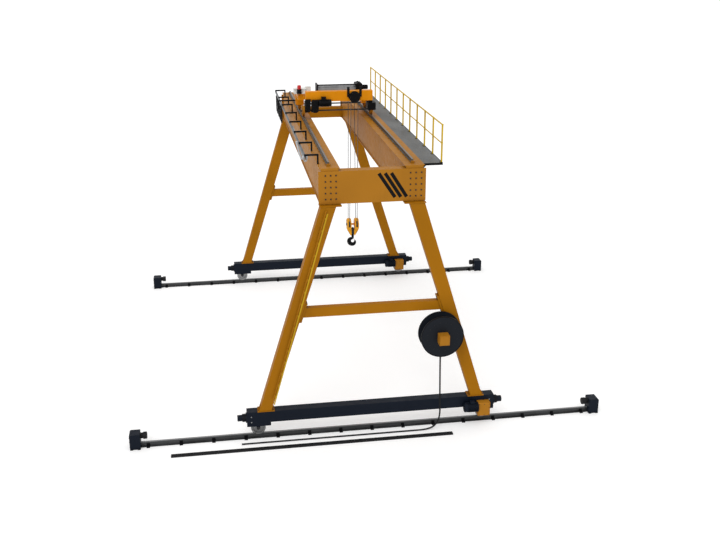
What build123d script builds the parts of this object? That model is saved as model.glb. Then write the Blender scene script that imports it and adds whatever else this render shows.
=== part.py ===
from build123d import *
import math
import os

# A rail-mounted double-girder gantry crane with A-shaped legs, in millimetres.
# X runs along the ground rails, Y across the span, Z up. The origin is on the ground under
# the middle of the front rail.

# Runway: two flat-bottomed rails held down by clips
span = 13500.0
rail_half_length = 7016.0
rail_foot_width = 140.0
rail_foot_edge = 12.0
rail_foot_crown = 26.0
rail_foot_flat = 26.0
rail_height = 163.0
rail_web = 16.0
rail_head_width = 72.0
rail_head_depth = 42.0
rail_head_radius = 8.0
clip_count = 15
clip_end_margin = 215.5
clip_length = 100.0
clip_reach = 60.0
clip_lip = 22.0
clip_thickness = 14.0
clip_band = 12.0
clip_band_top = 115.0

# End stops
stop_length = 314.0
stop_width = 350.0
stop_height = 490.0
stop_chamfer = 30.0
stop_buffer_height = 375.0
stop_buffer_neck_radius = 85.0
stop_buffer_neck_length = 90.0
stop_buffer_head_radius = 108.0
stop_buffer_head_length = 112.0
buffer_edge = 10.0

# Cable channel on the ground beside the front rail
channel_length = 8510.0
channel_centre_x = -1855.0
channel_y = -715.0
channel_width = 170.0
channel_height = 40.0
channel_slope = 25.0

# Ground beams with a wheel housing at each end
beam_half_length = 3838.0
beam_width = 300.0
beam_top = 937.0
beam_bottom = 572.0
beam_wall = 12.0
housing_inner_x = 3116.0
housing_bottom = 456.0
wheel_x = 3502.0
wheel_radius = 200.0
wheel_flange_radius = 222.0
wheel_flange_thickness = 18.0
wheel_tread_width = 80.0
wheel_web_thickness = 34.0
wheel_hub_radius = 70.0
wheel_rim_thickness = 34.0
wheel_gap = 0.3
wheel_slot_length = 500.0
wheel_slot_width = 140.0
axle_radius = 30.0
axle_gap = 0.5
lug_thickness = 22.0
lug_width = 110.0
lug_inner_y = 75.0

# Beam end flanges and buffers
flange_radius = 158.0
flange_thickness = 26.0
buffer_height = 700.0
buffer_neck_radius = 120.0
buffer_neck_length = 111.0
buffer_head_radius = 97.0
buffer_head_length = 145.0

# Travel drives, on the right-hand housing of both ground beams
gearbox_length = 380.0
gearbox_depth = 240.0
gearbox_height = 440.0
gearbox_bottom = 338.0
gearbox_centre_x = 3480.0
gearbox_edge = 18.0
motor_radius = 148.0
motor_height = 636.0
motor_length = 440.0
motor_gap_to_beam = 12.0
motor_cowl_length = 95.0
motor_cowl_lip = 6.0
motor_cowl_edge = 12.0

# Legs
leg_depth = 300.0
leg_wall = 10.0
leg_bottom_outer_x = 3450.0
leg_bottom_inner_x = 3090.0
leg_top_outer_x = 1500.0
leg_top_inner_x = 1060.0
foot_plate_inner_x = 2996.0
foot_plate_outer_x = 3507.0
foot_plate_depth = 340.0
foot_plate_thickness = 20.0
foot_gusset_height = 210.0
foot_gusset_thickness = 16.0
head_plate_inner_x = 900.0
head_plate_outer_x = 1530.0
head_plate_depth = 330.0
head_plate_thickness = 25.0

# Tie beams between the legs
tie_top = 4190.0
tie_bottom = 3900.0
tie_depth = 200.0
tie_wall = 8.0
tie_plate_thickness = 70.0
tie_plate_over = 150.0
tie_plate_depth = 250.0

# Girders
girder_half_gauge = 1215.0
girder_bottom = 7260.0
girder_height = 1048.0
girder_flange_width = 580.0
girder_flange_thickness = 14.0
girder_web_spacing = 500.0
girder_web_thickness = 8.0
girder_end_gap = 20.0

# End beams between the girders
end_plate_half_width = 1540.0
end_plate_thickness = 20.0
end_beam_lift = 15.0
end_beam_height = 945.0
end_beam_depth = 330.0
end_beam_wall = 10.0
rear_beam_top_lift = 440.0
rear_plate_inner_x = 925.0

# Trolley rails on the girders
trolley_gauge_half = 1210.0
trolley_rail_height = 107.0
trolley_rail_foot = 92.0
trolley_rail_head = 51.0
trolley_rail_web = 11.0
trolley_rail_foot_edge = 10.0
trolley_rail_foot_flat = 18.0
trolley_rail_foot_crown = 18.0
trolley_rail_head_depth = 28.0
trolley_rail_end = 330.0
rail_stop_length = 60.0
rail_stop_width = 110.0
rail_stop_height = 60.0

# Walkway with its railing, on the right girder
deck_front_y = 170.0
deck_rear_y = 12600.0
deck_outer_x = 2060.0
deck_thickness = 35.0
deck_bracket_count = 6
deck_bracket_thickness = 12.0
deck_bracket_height = 190.0
deck_bracket_tip = 50.0
deck_bracket_inset = 1080.0
railing_height = 1100.0
railing_mid_height = 545.0
railing_post_count = 12
railing_first_y = 250.0
railing_last_y = 12450.0
railing_x = 2038.0
railing_post_size = 42.0
railing_tube_radius = 21.0
railing_mid_radius = 17.0

# Ladder at the front left leg; it stands square to the leg's front face
ladder_top_x = -1350.0
ladder_top_z = 7155.0
ladder_bottom_x = -3020.0
ladder_bottom_z = 1350.0
ladder_standoff = 50.0
ladder_width = 330.0
ladder_stringer_width = 36.0
ladder_stringer_thickness = 16.0
ladder_rung_radius = 12.0
ladder_rung_count = 16
ladder_cleat_count = 4
ladder_cleat_height = 40.0

# Festoon brackets, track and loops on the left girder
bracket_count = 8
bracket_first_y = 600.0
bracket_pitch = 1675.0
bracket_size = 50.0
bracket_post_x = -1480.0
bracket_arm_end_x = -1865.0
bracket_height = 292.0
track_width = 50.0
track_height = 70.0
track_wall = 4.0
track_slot = 16.0
track_front_y = 450.0
track_rear_y = 12500.0
loop_count = 8
loop_first_y = 9350.0
loop_last_y = 12050.0
loop_drop = 620.0
loop_cable_width = 60.0
loop_cable_thickness = 22.0
loop_head_height = 60.0

# Flat band that sags beside the front part of the festoon track
band_width = 40.0
band_thickness = 20.0
band_gap = 10.0
band_clamp_half = 30.0
band_clamp_height = 70.0
band_front_y = 600.0
band_rear_y = 5000.0
# Points along the band between its ends: distance over the ground rail, drop under the track
band_sag = [
    (900.0, 150.0),
    (1300.0, 232.0),
    (1700.0, 240.0),
    (2600.0, 178.0),
    (3800.0, 78.0),
]

# Trolley frame: levels are over the tops of the trolley rails, depths from the front face
trolley_front_y = 7300.0
trolley_length = 1850.0
cross_beam_left_x = -1130.0
cross_beam_right_x = 1240.0
cross_beam_depth = 250.0
cross_beam_bottom_lift = 520.0
cross_beam_height = 345.0
cross_beam_wall = 10.0
rear_cross_beam_left_x = -1360.0
rear_cross_beam_lift = 445.0
rear_cross_beam_height = 170.0
bearer_width = 110.0
bearer_bottom_lift = 485.0
bearer_height = 130.0
bearer_wall = 8.0
bearer_left_x = -675.0
bearer_right_x = 796.0
side_beam_left_x = -1340.0
side_beam_width = 175.0
side_beam_front_back = 700.0
side_beam_bottom_lift = 470.0
side_beam_height = 220.0
side_brace_depth = 100.0
right_side_beam_x = 1060.0

# Wheel housings, wheels and shafts of the trolley
carriage_width = 290.0
carriage_length = 450.0
carriage_bottom_lift = 185.0
carriage_wall = 10.0
wheel_box_length = 430.0
wheel_box_bottom_lift = 175.0
wheel_box_height = 260.0
wheel_box_neck_x = 1100.0
wheel_box_neck_depth = 200.0
trolley_wheel_radius = 175.0
trolley_wheel_flange = 191.0
trolley_wheel_tread = 58.0
trolley_flange_thickness = 12.0
trolley_web_thickness = 26.0
trolley_hub_radius = 55.0
trolley_rim_thickness = 28.0
trolley_front_axle_back = 215.0
trolley_rear_axle_back = 1630.0
trolley_slot_length = 430.0
trolley_slot_width = 104.0
trolley_lug_inner = 62.0
trolley_lug_thickness = 22.0
trolley_lug_width = 120.0
trolley_shaft_radius = 25.0
trolley_shaft_gap = 0.5

# Trolley drive: a flat reducer with a geared motor, and the bearing case beside the left wheel
reducer_left_x = -925.0
reducer_right_x = -690.0
reducer_front_back = -120.0
reducer_rear_back = 245.0
reducer_bottom_lift = 147.0
reducer_round = 100.0
reducer_foot_top_lift = 595.0
shaft_boss_radius = 65.0
drive_motor_length = 440.0
drive_motor_back = -134.0
drive_motor_lift = 490.0
drive_motor_radius = 122.0
drive_cowl_length = 90.0
drive_cowl_lip = 6.0
terminal_box_start = 90.0
terminal_box_length = 160.0
terminal_box_half_depth = 70.0
terminal_box_height = 205.0
bearing_case_left_x = -1160.0
bearing_case_right_x = -970.0
bearing_case_front_back = -100.0
bearing_case_rear_back = 300.0
bearing_case_bottom_lift = 191.0
bearing_case_foot_lift = 615.0
bearing_case_round = 70.0

# Equaliser sheave on the front face of the front beam
equaliser_x = 588.0
equaliser_lift = 662.0
equaliser_radius = 125.0
equaliser_thickness = 60.0
equaliser_groove = 14.0
equaliser_bracket_gap = 12.0
equaliser_plate = 16.0
equaliser_cheek_radius = 195.0
equaliser_pin_radius = 30.0
equaliser_arm_width = 90.0
equaliser_arm_spread = 215.0
equaliser_arm_top_lift = 1005.0

# Hoist on the trolley: drum between two end plates held by tie rods
drum_back = 900.0
drum_lift = 775.0
drum_radius = 150.0
drum_rim_radius = 176.0
drum_rim_thickness = 16.0
drum_left_x = -614.0
drum_right_x = 735.0
drum_end_gap = 6.0
drum_bore_radius = 130.0
drum_shaft_radius = 35.0
drum_gap = 0.5
drum_plate_thickness = 50.0
drum_plate_half_depth = 240.0
drum_plate_top_lift = 1015.0
tie_rod_radius = 22.0
tie_rod_reach = 190.0
tie_rod_front_lift = 986.0
tie_rod_rear_lift = 645.0
hoist_gearbox_length = 190.0
hoist_gearbox_half_depth = 215.0
hoist_gearbox_bottom_lift = 685.0
hoist_gearbox_height = 340.0
hoist_gearbox_edge = 25.0
hoist_motor_radius = 80.0
hoist_motor_length = 227.0
hoist_motor_lift = 855.0
hoist_motor_cowl = 60.0
hoist_motor_edge = 8.0

# Electric cabinet on the left side beam, and warning beacon
cabinet_left_x = -1470.0
cabinet_right_x = -1050.0
cabinet_depth = 350.0
cabinet_height = 170.0
side_box_right_x = -862.0
side_box_back = 100.0
side_box_depth = 200.0
side_box_rise = 95.0
side_box_height = 132.0
cabinet_door_inset = 25.0
cabinet_door_depth = 8.0
beacon_x = -1300.0
beacon_reach = 85.0
beacon_plate_rise = 30.0
beacon_plate_thickness = 40.0
beacon_base_radius = 80.0
beacon_base_height = 122.0
beacon_lamp_radius = 68.0
beacon_lamp_height = 134.0
beacon_lamp_edge = 22.0

# Arm that tows the festoon cable
tow_arm_back = 1700.0
tow_arm_size = 50.0
tow_arm_lift = 305.0
tow_arm_outer_x = -1985.0
tow_drop_lift = 5.0
tow_arm_reach_back = 2075.0

# Hook block: two grooved sheaves on one pin, in round slotted housings with tapered cheeks
hook_x = 550.0
hook_y = 7600.0
sheave_offset = 140.0
sheave_radius = 190.0
sheave_thickness = 60.0
sheave_groove = 16.0
sheave_height = 4300.0
sheave_gap = 6.0
housing_width = 150.0
housing_radius = 225.0
housing_round = 30.0
housing_slot_low = 70.0
housing_slot_high = 150.0
block_pin_half_length = 230.0
block_pin_radius = 33.0
cheek_top_drop = 200.0
cheek_bottom_drop = 420.0
cheek_inner = 50.0
cheek_top_outer = 215.0
cheek_bottom_outer = 90.0
cheek_half_depth = 70.0
crosshead_half_depth = 60.0
crosshead_top_drop = 170.0
crosshead_bottom_drop = 370.0
hook_pin_gap = 0.5
rope_radius = 12.0
rope_gap = 0.3
drum_fall_x = 585.0
drum_fall_offset = 110.0

# Forged hook with its shank and latch
shank_radius = 34.0
shank_head_radius = 44.0
shank_head_length = 56.0
shank_collar_radius = 50.0
shank_collar_slope = 6.0
shank_collar_length = 16.0
shank_taper_radius = 42.0
shank_taper_length = 60.0
hook_mouth_radius = 60.0
hook_throat_depth = 138.0
hook_bottom_drop = 855.0
# Angle round the mouth (a plain number), then the section's height and width
hook_sections = [
    (84, 78.0, 72.0),
    (120, 110.0, 80.0),
    (155, 145.0, 88.0),
    (190, 152.0, 90.0),
    (230, 148.0, 90.0),
    (270, hook_throat_depth, 90.0),
    (310, 112.0, 80.0),
    (345, 72.0, 62.0),
    (375, 46.0, 44.0),
]
hook_latch_width = 36.0
hook_latch_thickness = 10.0

# Cable reel
reel_x = 2010.0
reel_z = 3230.0
reel_radius = 650.0
reel_back_y = -205.0
reel_depth = 420.0
reel_flange_thickness = 14.0
reel_flange_lip = 22.0
reel_winding_radius = 430.0
reel_axle_radius = 40.0
reel_gap = 0.5
reel_axle_collar = 6.0
reel_bracket_thickness = 24.0
reel_bracket_half_height = 120.0
reel_boss_radius = 90.0
slip_ring_size = 300.0
slip_ring_gap = 6.0
slip_ring_edge = 8.0

# Supply cable: hangs from the reel, then lies along the ground
cable_radius = 25.0
cable_bend_share = 0.45
cable_route = [
    (2237.3, -415.0, 2835.5),
    (2137.0, -415.0, 2777.7),
    (2064.0, -415.0, 2700.0),
    (2020.0, -415.0, 2600.0),
    (2010.0, -414.0, 2450.0),
    (2046.0, -412.0, 900.0),
    (2062.0, -411.0, 560.0),
    (2010.0, -408.0, 290.0),
    (1860.0, -402.0, 95.0),
    (1600.0, -396.0, 28.0),
    (1250.0, -392.0, 25.0),
    (-4030.0, -390.0, 25.0),
]

# Overrun of cutting tools past the faces they cut
overrun = 5.0

# Levels worked out from the heights above
girder_top = girder_bottom + girder_height
end_beam_bottom = girder_bottom + end_beam_lift
end_beam_top = end_beam_bottom + end_beam_height
bracket_top = girder_top + bracket_height
rail_level = girder_top + trolley_rail_height
trolley_axle_z = rail_level + wheel_gap + trolley_wheel_radius
cross_beam_bottom = rail_level + cross_beam_bottom_lift
cross_beam_top = cross_beam_bottom + cross_beam_height
rear_cross_beam_bottom = rail_level + rear_cross_beam_lift
bearer_bottom = rail_level + bearer_bottom_lift
bearer_top = bearer_bottom + bearer_height
side_beam_bottom = rail_level + side_beam_bottom_lift
side_beam_top = side_beam_bottom + side_beam_height
wheel_box_bottom = rail_level + wheel_box_bottom_lift
equaliser_z = rail_level + equaliser_lift
drum_z = rail_level + drum_lift
tow_arm_z = rail_level + tow_arm_lift
tow_drop_low = rail_level + tow_drop_lift
cheek_bottom = sheave_height - cheek_bottom_drop
crosshead_bottom = sheave_height - crosshead_bottom_drop

# Depths worked out from the trolley's front face
trolley_rear_y = trolley_front_y + trolley_length
cross_beam_rear_y = trolley_front_y + cross_beam_depth
rear_cross_beam_y = trolley_rear_y - cross_beam_depth
trolley_front_axle_y = trolley_front_y + trolley_front_axle_back
trolley_rear_axle_y = trolley_front_y + trolley_rear_axle_back
side_beam_front_y = trolley_front_y + side_beam_front_back
drum_y = trolley_front_y + drum_back
tow_arm_y = trolley_front_y + tow_arm_back
tow_arm_reach_y = trolley_front_y + tow_arm_reach_back

# Ends worked out along the trolley
frame_left_x = drum_left_x - drum_end_gap - drum_plate_thickness
frame_right_x = drum_right_x + drum_end_gap + drum_plate_thickness
hoist_gearbox_right_x = frame_right_x + hoist_gearbox_length
carriage_outer_x = trolley_gauge_half + carriage_width / 2


def block(x0, x1, y0, y1, z0, z1):
    """A plain block between two opposite corners."""
    middle = Pos((x0 + x1) / 2, (y0 + y1) / 2, (z0 + z1) / 2)
    return middle * Box(x1 - x0, y1 - y0, z1 - z0)


def hollow_block(x0, x1, y0, y1, z0, z1, wall):
    """A closed box of even wall thickness."""
    inner = block(x0 + wall, x1 - wall, y0 + wall, y1 - wall, z0 + wall, z1 - wall)
    return block(x0, x1, y0, y1, z0, z1) - inner


def prism_xz(outline, y0, y1):
    """An outline of (x, z) points, run from y0 to y1."""
    face = make_face(Polyline(*[(x, y0, z) for x, z in outline], close=True))
    return extrude(face, amount=y1 - y0, dir=(0, 1, 0))


def prism_yz(outline, x0, x1):
    """An outline of (y, z) points, run from x0 to x1."""
    face = make_face(Polyline(*[(x0, y, z) for y, z in outline], close=True))
    return extrude(face, amount=x1 - x0, dir=(1, 0, 0))


def rod(start, end, radius):
    """A round bar between two points."""
    start, end = Vector(*start), Vector(*end)
    along = Plane(origin=start, z_dir=end - start)
    return along * Cylinder(radius, (end - start).length, align=(Align.CENTER, Align.CENTER, Align.MIN))


def turned(profile, centre, axis_dir):
    """A profile of (radius, distance along the axis) points, turned about an axis through centre."""
    face = make_face(Polyline(*[(r, 0, a) for r, a in profile], close=True))
    solid = revolve(face, Axis.Z)
    return Plane(origin=centre, z_dir=axis_dir) * solid


def mirrored_x(shape):
    return mirror(shape, about=Plane.YZ)


def across_span(shape):
    """The same piece at the far side of the span, facing the other way."""
    return Pos(0, span, 0) * mirror(shape, about=Plane.XZ)


def at_four_corners(shape):
    """A piece of the front right corner, repeated at all four."""
    rear = Pos(0, span, 0)
    return [shape, mirrored_x(shape), rear * shape, rear * mirrored_x(shape)]


def make_rail_profile(foot, edge, flat, crown, height, web, head, head_depth):
    half = [
        (foot / 2, 0), (foot / 2, edge), (foot / 2 - flat, edge), (web / 2, crown),
        (web / 2, height - head_depth), (head / 2, height - head_depth), (head / 2, height),
    ]
    return half + [(-y, z) for y, z in reversed(half)]


def make_ground_rail():
    profile = make_rail_profile(rail_foot_width, rail_foot_edge, rail_foot_flat, rail_foot_crown,
                                rail_height, rail_web, rail_head_width, rail_head_depth)
    rail = prism_yz(profile, -rail_half_length, rail_half_length)
    crown_edges = rail.edges().filter_by(Axis.X).group_by(Axis.Z)[-1]
    return fillet(crown_edges, rail_head_radius)


def make_clips(y):
    """Clips that grip both edges of a rail's foot and lie against its web."""
    near = rail_foot_width / 2
    web = rail_web / 2
    low = rail_foot_edge + clip_thickness
    outline = [
        (near, 0), (near + clip_reach, 0), (near + clip_reach, rail_foot_edge), (near + rail_foot_edge, low),
        (near - clip_lip, low), (web + clip_band, rail_foot_crown + clip_thickness),
        (web + clip_band, clip_band_top), (web, clip_band_top), (web, rail_foot_crown),
        (near - rail_foot_flat, rail_foot_edge), (near, rail_foot_edge),
    ]
    clip_pitch = 2 * (rail_half_length - clip_end_margin) / (clip_count - 1)
    clips = []
    for index in range(clip_count):
        x = (index - (clip_count - 1) / 2) * clip_pitch
        clip = prism_yz(outline, x - clip_length / 2, x + clip_length / 2)
        clips += [Pos(0, y, 0) * clip, Pos(0, y, 0) * mirror(clip, about=Plane.XZ)]
    return clips


def make_end_stop():
    """The right-hand stop of the front rail: a block with sloped top edges."""
    outer = rail_half_length + stop_length
    body = block(rail_half_length, outer, -stop_width / 2, stop_width / 2, 0, stop_height)
    top_edges = body.edges().group_by(Axis.Z)[-1].filter_by(Axis.Y).sort_by(Axis.X)[-1:]
    return chamfer(top_edges, stop_chamfer)


def make_stop_buffer():
    head = stop_buffer_neck_length + stop_buffer_head_length
    profile = [
        (0, 0), (stop_buffer_neck_radius, 0), (stop_buffer_neck_radius, stop_buffer_neck_length),
        (stop_buffer_head_radius, stop_buffer_neck_length), (stop_buffer_head_radius, head - buffer_edge),
        (stop_buffer_head_radius - buffer_edge, head), (0, head),
    ]
    return turned(profile, (rail_half_length, 0, stop_buffer_height), (-1, 0, 0))


def make_cable_channel():
    half = channel_width / 2
    outline = [
        (channel_y - half, 0), (channel_y + half, 0),
        (channel_y + half - channel_slope, channel_height),
        (channel_y - half + channel_slope, channel_height),
    ]
    return prism_yz(outline, channel_centre_x - channel_length / 2, channel_centre_x + channel_length / 2)


def ground_beam_outline(inset):
    """The beam's side view with its two wheel housings, shrunk by inset."""
    end = beam_half_length - inset
    step = housing_inner_x + inset
    half = [(step, beam_bottom + inset), (step, housing_bottom + inset), (end, housing_bottom + inset),
            (end, beam_top - inset)]
    return half + [(-x, z) for x, z in reversed(half)]


def make_ground_beam():
    half_width = beam_width / 2
    outer = prism_xz(ground_beam_outline(0), -half_width, half_width)
    inner = prism_xz(ground_beam_outline(beam_wall), beam_wall - half_width, half_width - beam_wall)
    beam = outer - inner
    axle_z = rail_height + wheel_gap + wheel_radius
    for x in (-wheel_x, wheel_x):
        slot = block(x - wheel_slot_length / 2, x + wheel_slot_length / 2, -wheel_slot_width / 2,
                     wheel_slot_width / 2, housing_bottom - overrun, housing_bottom + beam_wall + overrun)
        beam -= slot
        for side in (-1, 1):
            y0, y1 = sorted((side * lug_inner_y, side * (lug_inner_y + lug_thickness)))
            lug = block(x - lug_width / 2, x + lug_width / 2, y0, y1, axle_z, housing_bottom + beam_wall)
            lug += rod((x, y0, axle_z), (x, y1, axle_z), lug_width / 2)
            beam += lug - rod((x, y0 - overrun, axle_z), (x, y1 + overrun, axle_z), axle_radius + axle_gap)
    return beam


def make_beam_buffer():
    """Flange, rubber neck and head on the right-hand end of a ground beam."""
    neck = flange_thickness + buffer_neck_length
    head = neck + buffer_head_length
    profile = [
        (0, 0), (flange_radius, 0), (flange_radius, flange_thickness), (buffer_neck_radius, flange_thickness),
        (buffer_neck_radius, neck), (buffer_head_radius, neck), (buffer_head_radius, head - buffer_edge),
        (buffer_head_radius - buffer_edge, head), (0, head),
    ]
    return turned(profile, (beam_half_length, 0, buffer_height), (1, 0, 0))


def make_travel_wheel(x, y):
    """Double-flanged wheel with its axle."""
    half_tread = wheel_tread_width / 2
    half_rim = half_tread + wheel_flange_thickness
    half_web = wheel_web_thickness / 2
    rim_inner = wheel_radius - wheel_rim_thickness
    axle_end = lug_inner_y + lug_thickness + overrun
    half = [
        (axle_radius, axle_end), (axle_radius, half_rim), (wheel_hub_radius, half_rim),
        (wheel_hub_radius, half_web), (rim_inner, half_web), (rim_inner, half_rim),
        (wheel_flange_radius, half_rim), (wheel_flange_radius, half_tread), (wheel_radius, half_tread),
    ]
    profile = [(0, axle_end)] + half + [(r, -a) for r, a in reversed(half)] + [(0, -axle_end)]
    return turned(profile, (x, y, rail_height + wheel_gap + wheel_radius), (0, 1, 0))


def make_travel_gearbox():
    """Gearbox on the front face of a right-hand wheel housing."""
    face = -beam_width / 2
    body = block(gearbox_centre_x - gearbox_length / 2, gearbox_centre_x + gearbox_length / 2,
                 face - gearbox_depth, face, gearbox_bottom, gearbox_bottom + gearbox_height)
    front = body.faces().sort_by(Axis.Y)[0]
    return chamfer(front.edges(), gearbox_edge)


def make_travel_motor():
    y = -beam_width / 2 - motor_gap_to_beam - motor_radius
    body = motor_length - motor_cowl_length
    cowl = motor_radius
    barrel = motor_radius - motor_cowl_lip
    profile = [
        (0, 0), (barrel, 0), (barrel, body), (cowl, body),
        (cowl, motor_length - motor_cowl_edge), (cowl - motor_cowl_edge, motor_length), (0, motor_length),
    ]
    return turned(profile, (gearbox_centre_x - gearbox_length / 2, y, motor_height), (-1, 0, 0))


foot_z = beam_top + foot_plate_thickness
head_z = girder_bottom - head_plate_thickness


def leg_inner_x(z):
    """Inner edge of a right-hand leg at a height."""
    share = (z - foot_z) / (head_z - foot_z)
    return leg_bottom_inner_x + (leg_top_inner_x - leg_bottom_inner_x) * share


def leg_outer_x(z):
    share = (z - foot_z) / (head_z - foot_z)
    return leg_bottom_outer_x + (leg_top_outer_x - leg_bottom_outer_x) * share


def make_leg():
    """Front right leg with its foot plate, gusset and head plate."""
    outline = [(leg_inner_x(foot_z), foot_z), (leg_outer_x(foot_z), foot_z),
               (leg_outer_x(head_z), head_z), (leg_inner_x(head_z), head_z)]
    hollow = [(leg_inner_x(z) + leg_wall, z) for z in (foot_z, head_z)]
    hollow += [(leg_outer_x(z) - leg_wall, z) for z in (head_z, foot_z)]
    leg = prism_xz(outline, -leg_depth / 2, leg_depth / 2)
    leg -= prism_xz(hollow, leg_wall - leg_depth / 2, leg_depth / 2 - leg_wall)
    leg += block(foot_plate_inner_x, foot_plate_outer_x, -foot_plate_depth / 2, foot_plate_depth / 2,
                 beam_top, foot_z)
    leg += block(head_plate_inner_x, head_plate_outer_x, -head_plate_depth / 2, head_plate_depth / 2,
                 head_z, girder_bottom)
    gusset_top = foot_z + foot_gusset_height
    gusset = [(leg_outer_x(foot_z) - leg_wall / 2, foot_z), (foot_plate_outer_x - overrun, foot_z),
              (leg_outer_x(gusset_top), gusset_top), (leg_outer_x(gusset_top) - leg_wall / 2, gusset_top)]
    leg += prism_xz(gusset, -foot_gusset_thickness / 2, foot_gusset_thickness / 2)
    return leg


def make_tie_beam():
    """Box tie between the two legs of one frame, with slanted end plates against the legs."""
    def inner(z, inset):
        return leg_inner_x(z) - inset
    low, high = tie_bottom, tie_top
    outline = [(-inner(low, 0), low), (inner(low, 0), low), (inner(high, 0), high), (-inner(high, 0), high)]
    tie = prism_xz(outline, -tie_depth / 2, tie_depth / 2)
    inset = tie_plate_thickness
    low, high = tie_bottom + tie_wall, tie_top - tie_wall
    hollow = [(-inner(low, inset), low), (inner(low, inset), low), (inner(high, inset), high),
              (-inner(high, inset), high)]
    tie -= prism_xz(hollow, tie_wall - tie_depth / 2, tie_depth / 2 - tie_wall)
    low, high = tie_bottom - tie_plate_over, tie_top + tie_plate_over
    plate = prism_xz([(inner(low, 0), low), (inner(high, 0), high), (inner(high, inset), high),
                      (inner(low, inset), low)], -tie_plate_depth / 2, tie_plate_depth / 2)
    return tie + plate + mirrored_x(plate)


def make_girder():
    """Right-hand box girder, closed at both ends."""
    x = girder_half_gauge
    y0, y1 = girder_end_gap, span - girder_end_gap
    half_flange = girder_flange_width / 2
    half_web = girder_web_spacing / 2
    low = girder_bottom + girder_flange_thickness
    high = girder_top - girder_flange_thickness
    girder = block(x - half_flange, x + half_flange, y0, y1, girder_bottom, low)
    girder += block(x - half_flange, x + half_flange, y0, y1, high, girder_top)
    girder += block(x - half_web, x + half_web, y0, y1, low, high)
    wall = girder_web_thickness
    girder -= block(x - half_web + wall, x + half_web - wall, y0 + end_plate_thickness,
                    y1 - end_plate_thickness, low, high)
    return girder


def make_end_beam():
    """Front end beam: a face plate over both girder ends and a box between the webs."""
    plate = block(-end_plate_half_width, end_plate_half_width, 0, end_plate_thickness,
                  end_beam_bottom, end_beam_top)
    half = girder_half_gauge - girder_web_spacing / 2
    low = girder_bottom + girder_flange_thickness
    box_beam = block(-half, half, end_plate_thickness, end_beam_depth, low, end_beam_top)
    wall = end_beam_wall
    box_beam -= block(wall - half, half - wall, end_plate_thickness, end_beam_depth - wall,
                      low + wall, end_beam_top - wall)
    return plate + box_beam


def make_rear_end_beam():
    """Rear end beam: a plate over each girder's end and a lower box between them."""
    rear = span - end_plate_thickness
    half = girder_half_gauge - girder_web_spacing / 2
    low = girder_bottom + girder_flange_thickness
    beam = hollow_block(-half, half, span - end_beam_depth, rear, low, girder_bottom + rear_beam_top_lift,
                        end_beam_wall)
    plate = block(rear_plate_inner_x, end_plate_half_width, rear, span, end_beam_bottom, end_beam_top)
    return beam + plate + mirrored_x(plate)


def make_trolley_rail():
    """Right-hand trolley rail."""
    profile = make_rail_profile(trolley_rail_foot, trolley_rail_foot_edge, trolley_rail_foot_flat,
                                trolley_rail_foot_crown, trolley_rail_height, trolley_rail_web,
                                trolley_rail_head, trolley_rail_head_depth)
    outline = [(trolley_gauge_half + x, girder_top + z) for x, z in profile]
    return prism_xz(outline, trolley_rail_end, span - trolley_rail_end)


def make_rail_stop():
    """Low stop block behind the front end of the right-hand trolley rail."""
    half = rail_stop_width / 2
    return block(trolley_gauge_half - half, trolley_gauge_half + half, trolley_rail_end - rail_stop_length,
                 trolley_rail_end, girder_top, girder_top + rail_stop_height)


def make_deck():
    """Walkway plate on brackets off the right girder's outer web."""
    edge = girder_half_gauge + girder_flange_width / 2
    deck = block(edge, deck_outer_x, deck_front_y, deck_rear_y, girder_top - deck_thickness, girder_top)
    web = girder_half_gauge + girder_web_spacing / 2
    under = girder_top - deck_thickness
    flange_low = girder_top - girder_flange_thickness
    tip = deck_outer_x - deck_bracket_tip
    outline = [(edge, under), (tip, under), (tip, under - deck_bracket_tip),
               (web, under - deck_bracket_height), (web, flange_low), (edge, flange_low)]
    reach = deck_rear_y - deck_front_y - 2 * deck_bracket_inset
    for index in range(deck_bracket_count):
        y = deck_front_y + deck_bracket_inset + reach * index / (deck_bracket_count - 1)
        deck += prism_xz(outline, y - deck_bracket_thickness / 2, y + deck_bracket_thickness / 2)
    return deck


def make_railing():
    """Posts, hand rail and knee rail along the walkway's outer edge."""
    half = railing_post_size / 2
    top = girder_top + railing_height - railing_tube_radius
    middle = girder_top + railing_mid_height
    start, end = railing_first_y - half, railing_last_y + half
    railing = rod((railing_x, start, top), (railing_x, end, top), railing_tube_radius)
    railing += rod((railing_x, start, middle), (railing_x, end, middle), railing_mid_radius)
    pitch = (railing_last_y - railing_first_y) / (railing_post_count - 1)
    for index in range(railing_post_count):
        y = railing_first_y + pitch * index
        railing += block(railing_x - half, railing_x + half, y - half, y + half, girder_top, top)
    return railing


def make_ladder():
    """Ladder along the front left leg: two flat stringers, round rungs between them and cleats."""
    face = -leg_depth / 2
    rear_y = face - ladder_standoff
    front_y = rear_y - ladder_width
    half_width = ladder_stringer_width / 2
    half_thickness = ladder_stringer_thickness / 2
    def point(share):
        return (ladder_bottom_x + (ladder_top_x - ladder_bottom_x) * share,
                ladder_bottom_z + (ladder_top_z - ladder_bottom_z) * share)
    outline = [(ladder_bottom_x - half_width, ladder_bottom_z),
               (ladder_bottom_x + half_width, ladder_bottom_z),
               (ladder_top_x + half_width, ladder_top_z), (ladder_top_x - half_width, ladder_top_z)]
    ladder = prism_xz(outline, front_y - half_thickness, front_y + half_thickness)
    ladder += prism_xz(outline, rear_y - half_thickness, rear_y + half_thickness)
    for index in range(ladder_rung_count):
        x, z = point((index + 1 / 2) / ladder_rung_count)
        ladder += rod((x, front_y, z), (x, rear_y, z), ladder_rung_radius)
    for index in range(ladder_cleat_count):
        x, z = point((index + 1 / 2) / ladder_cleat_count)
        ladder += block(x - half_width, x + half_width, rear_y, face, z - ladder_cleat_height / 2,
                        z + ladder_cleat_height / 2)
    return ladder


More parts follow.
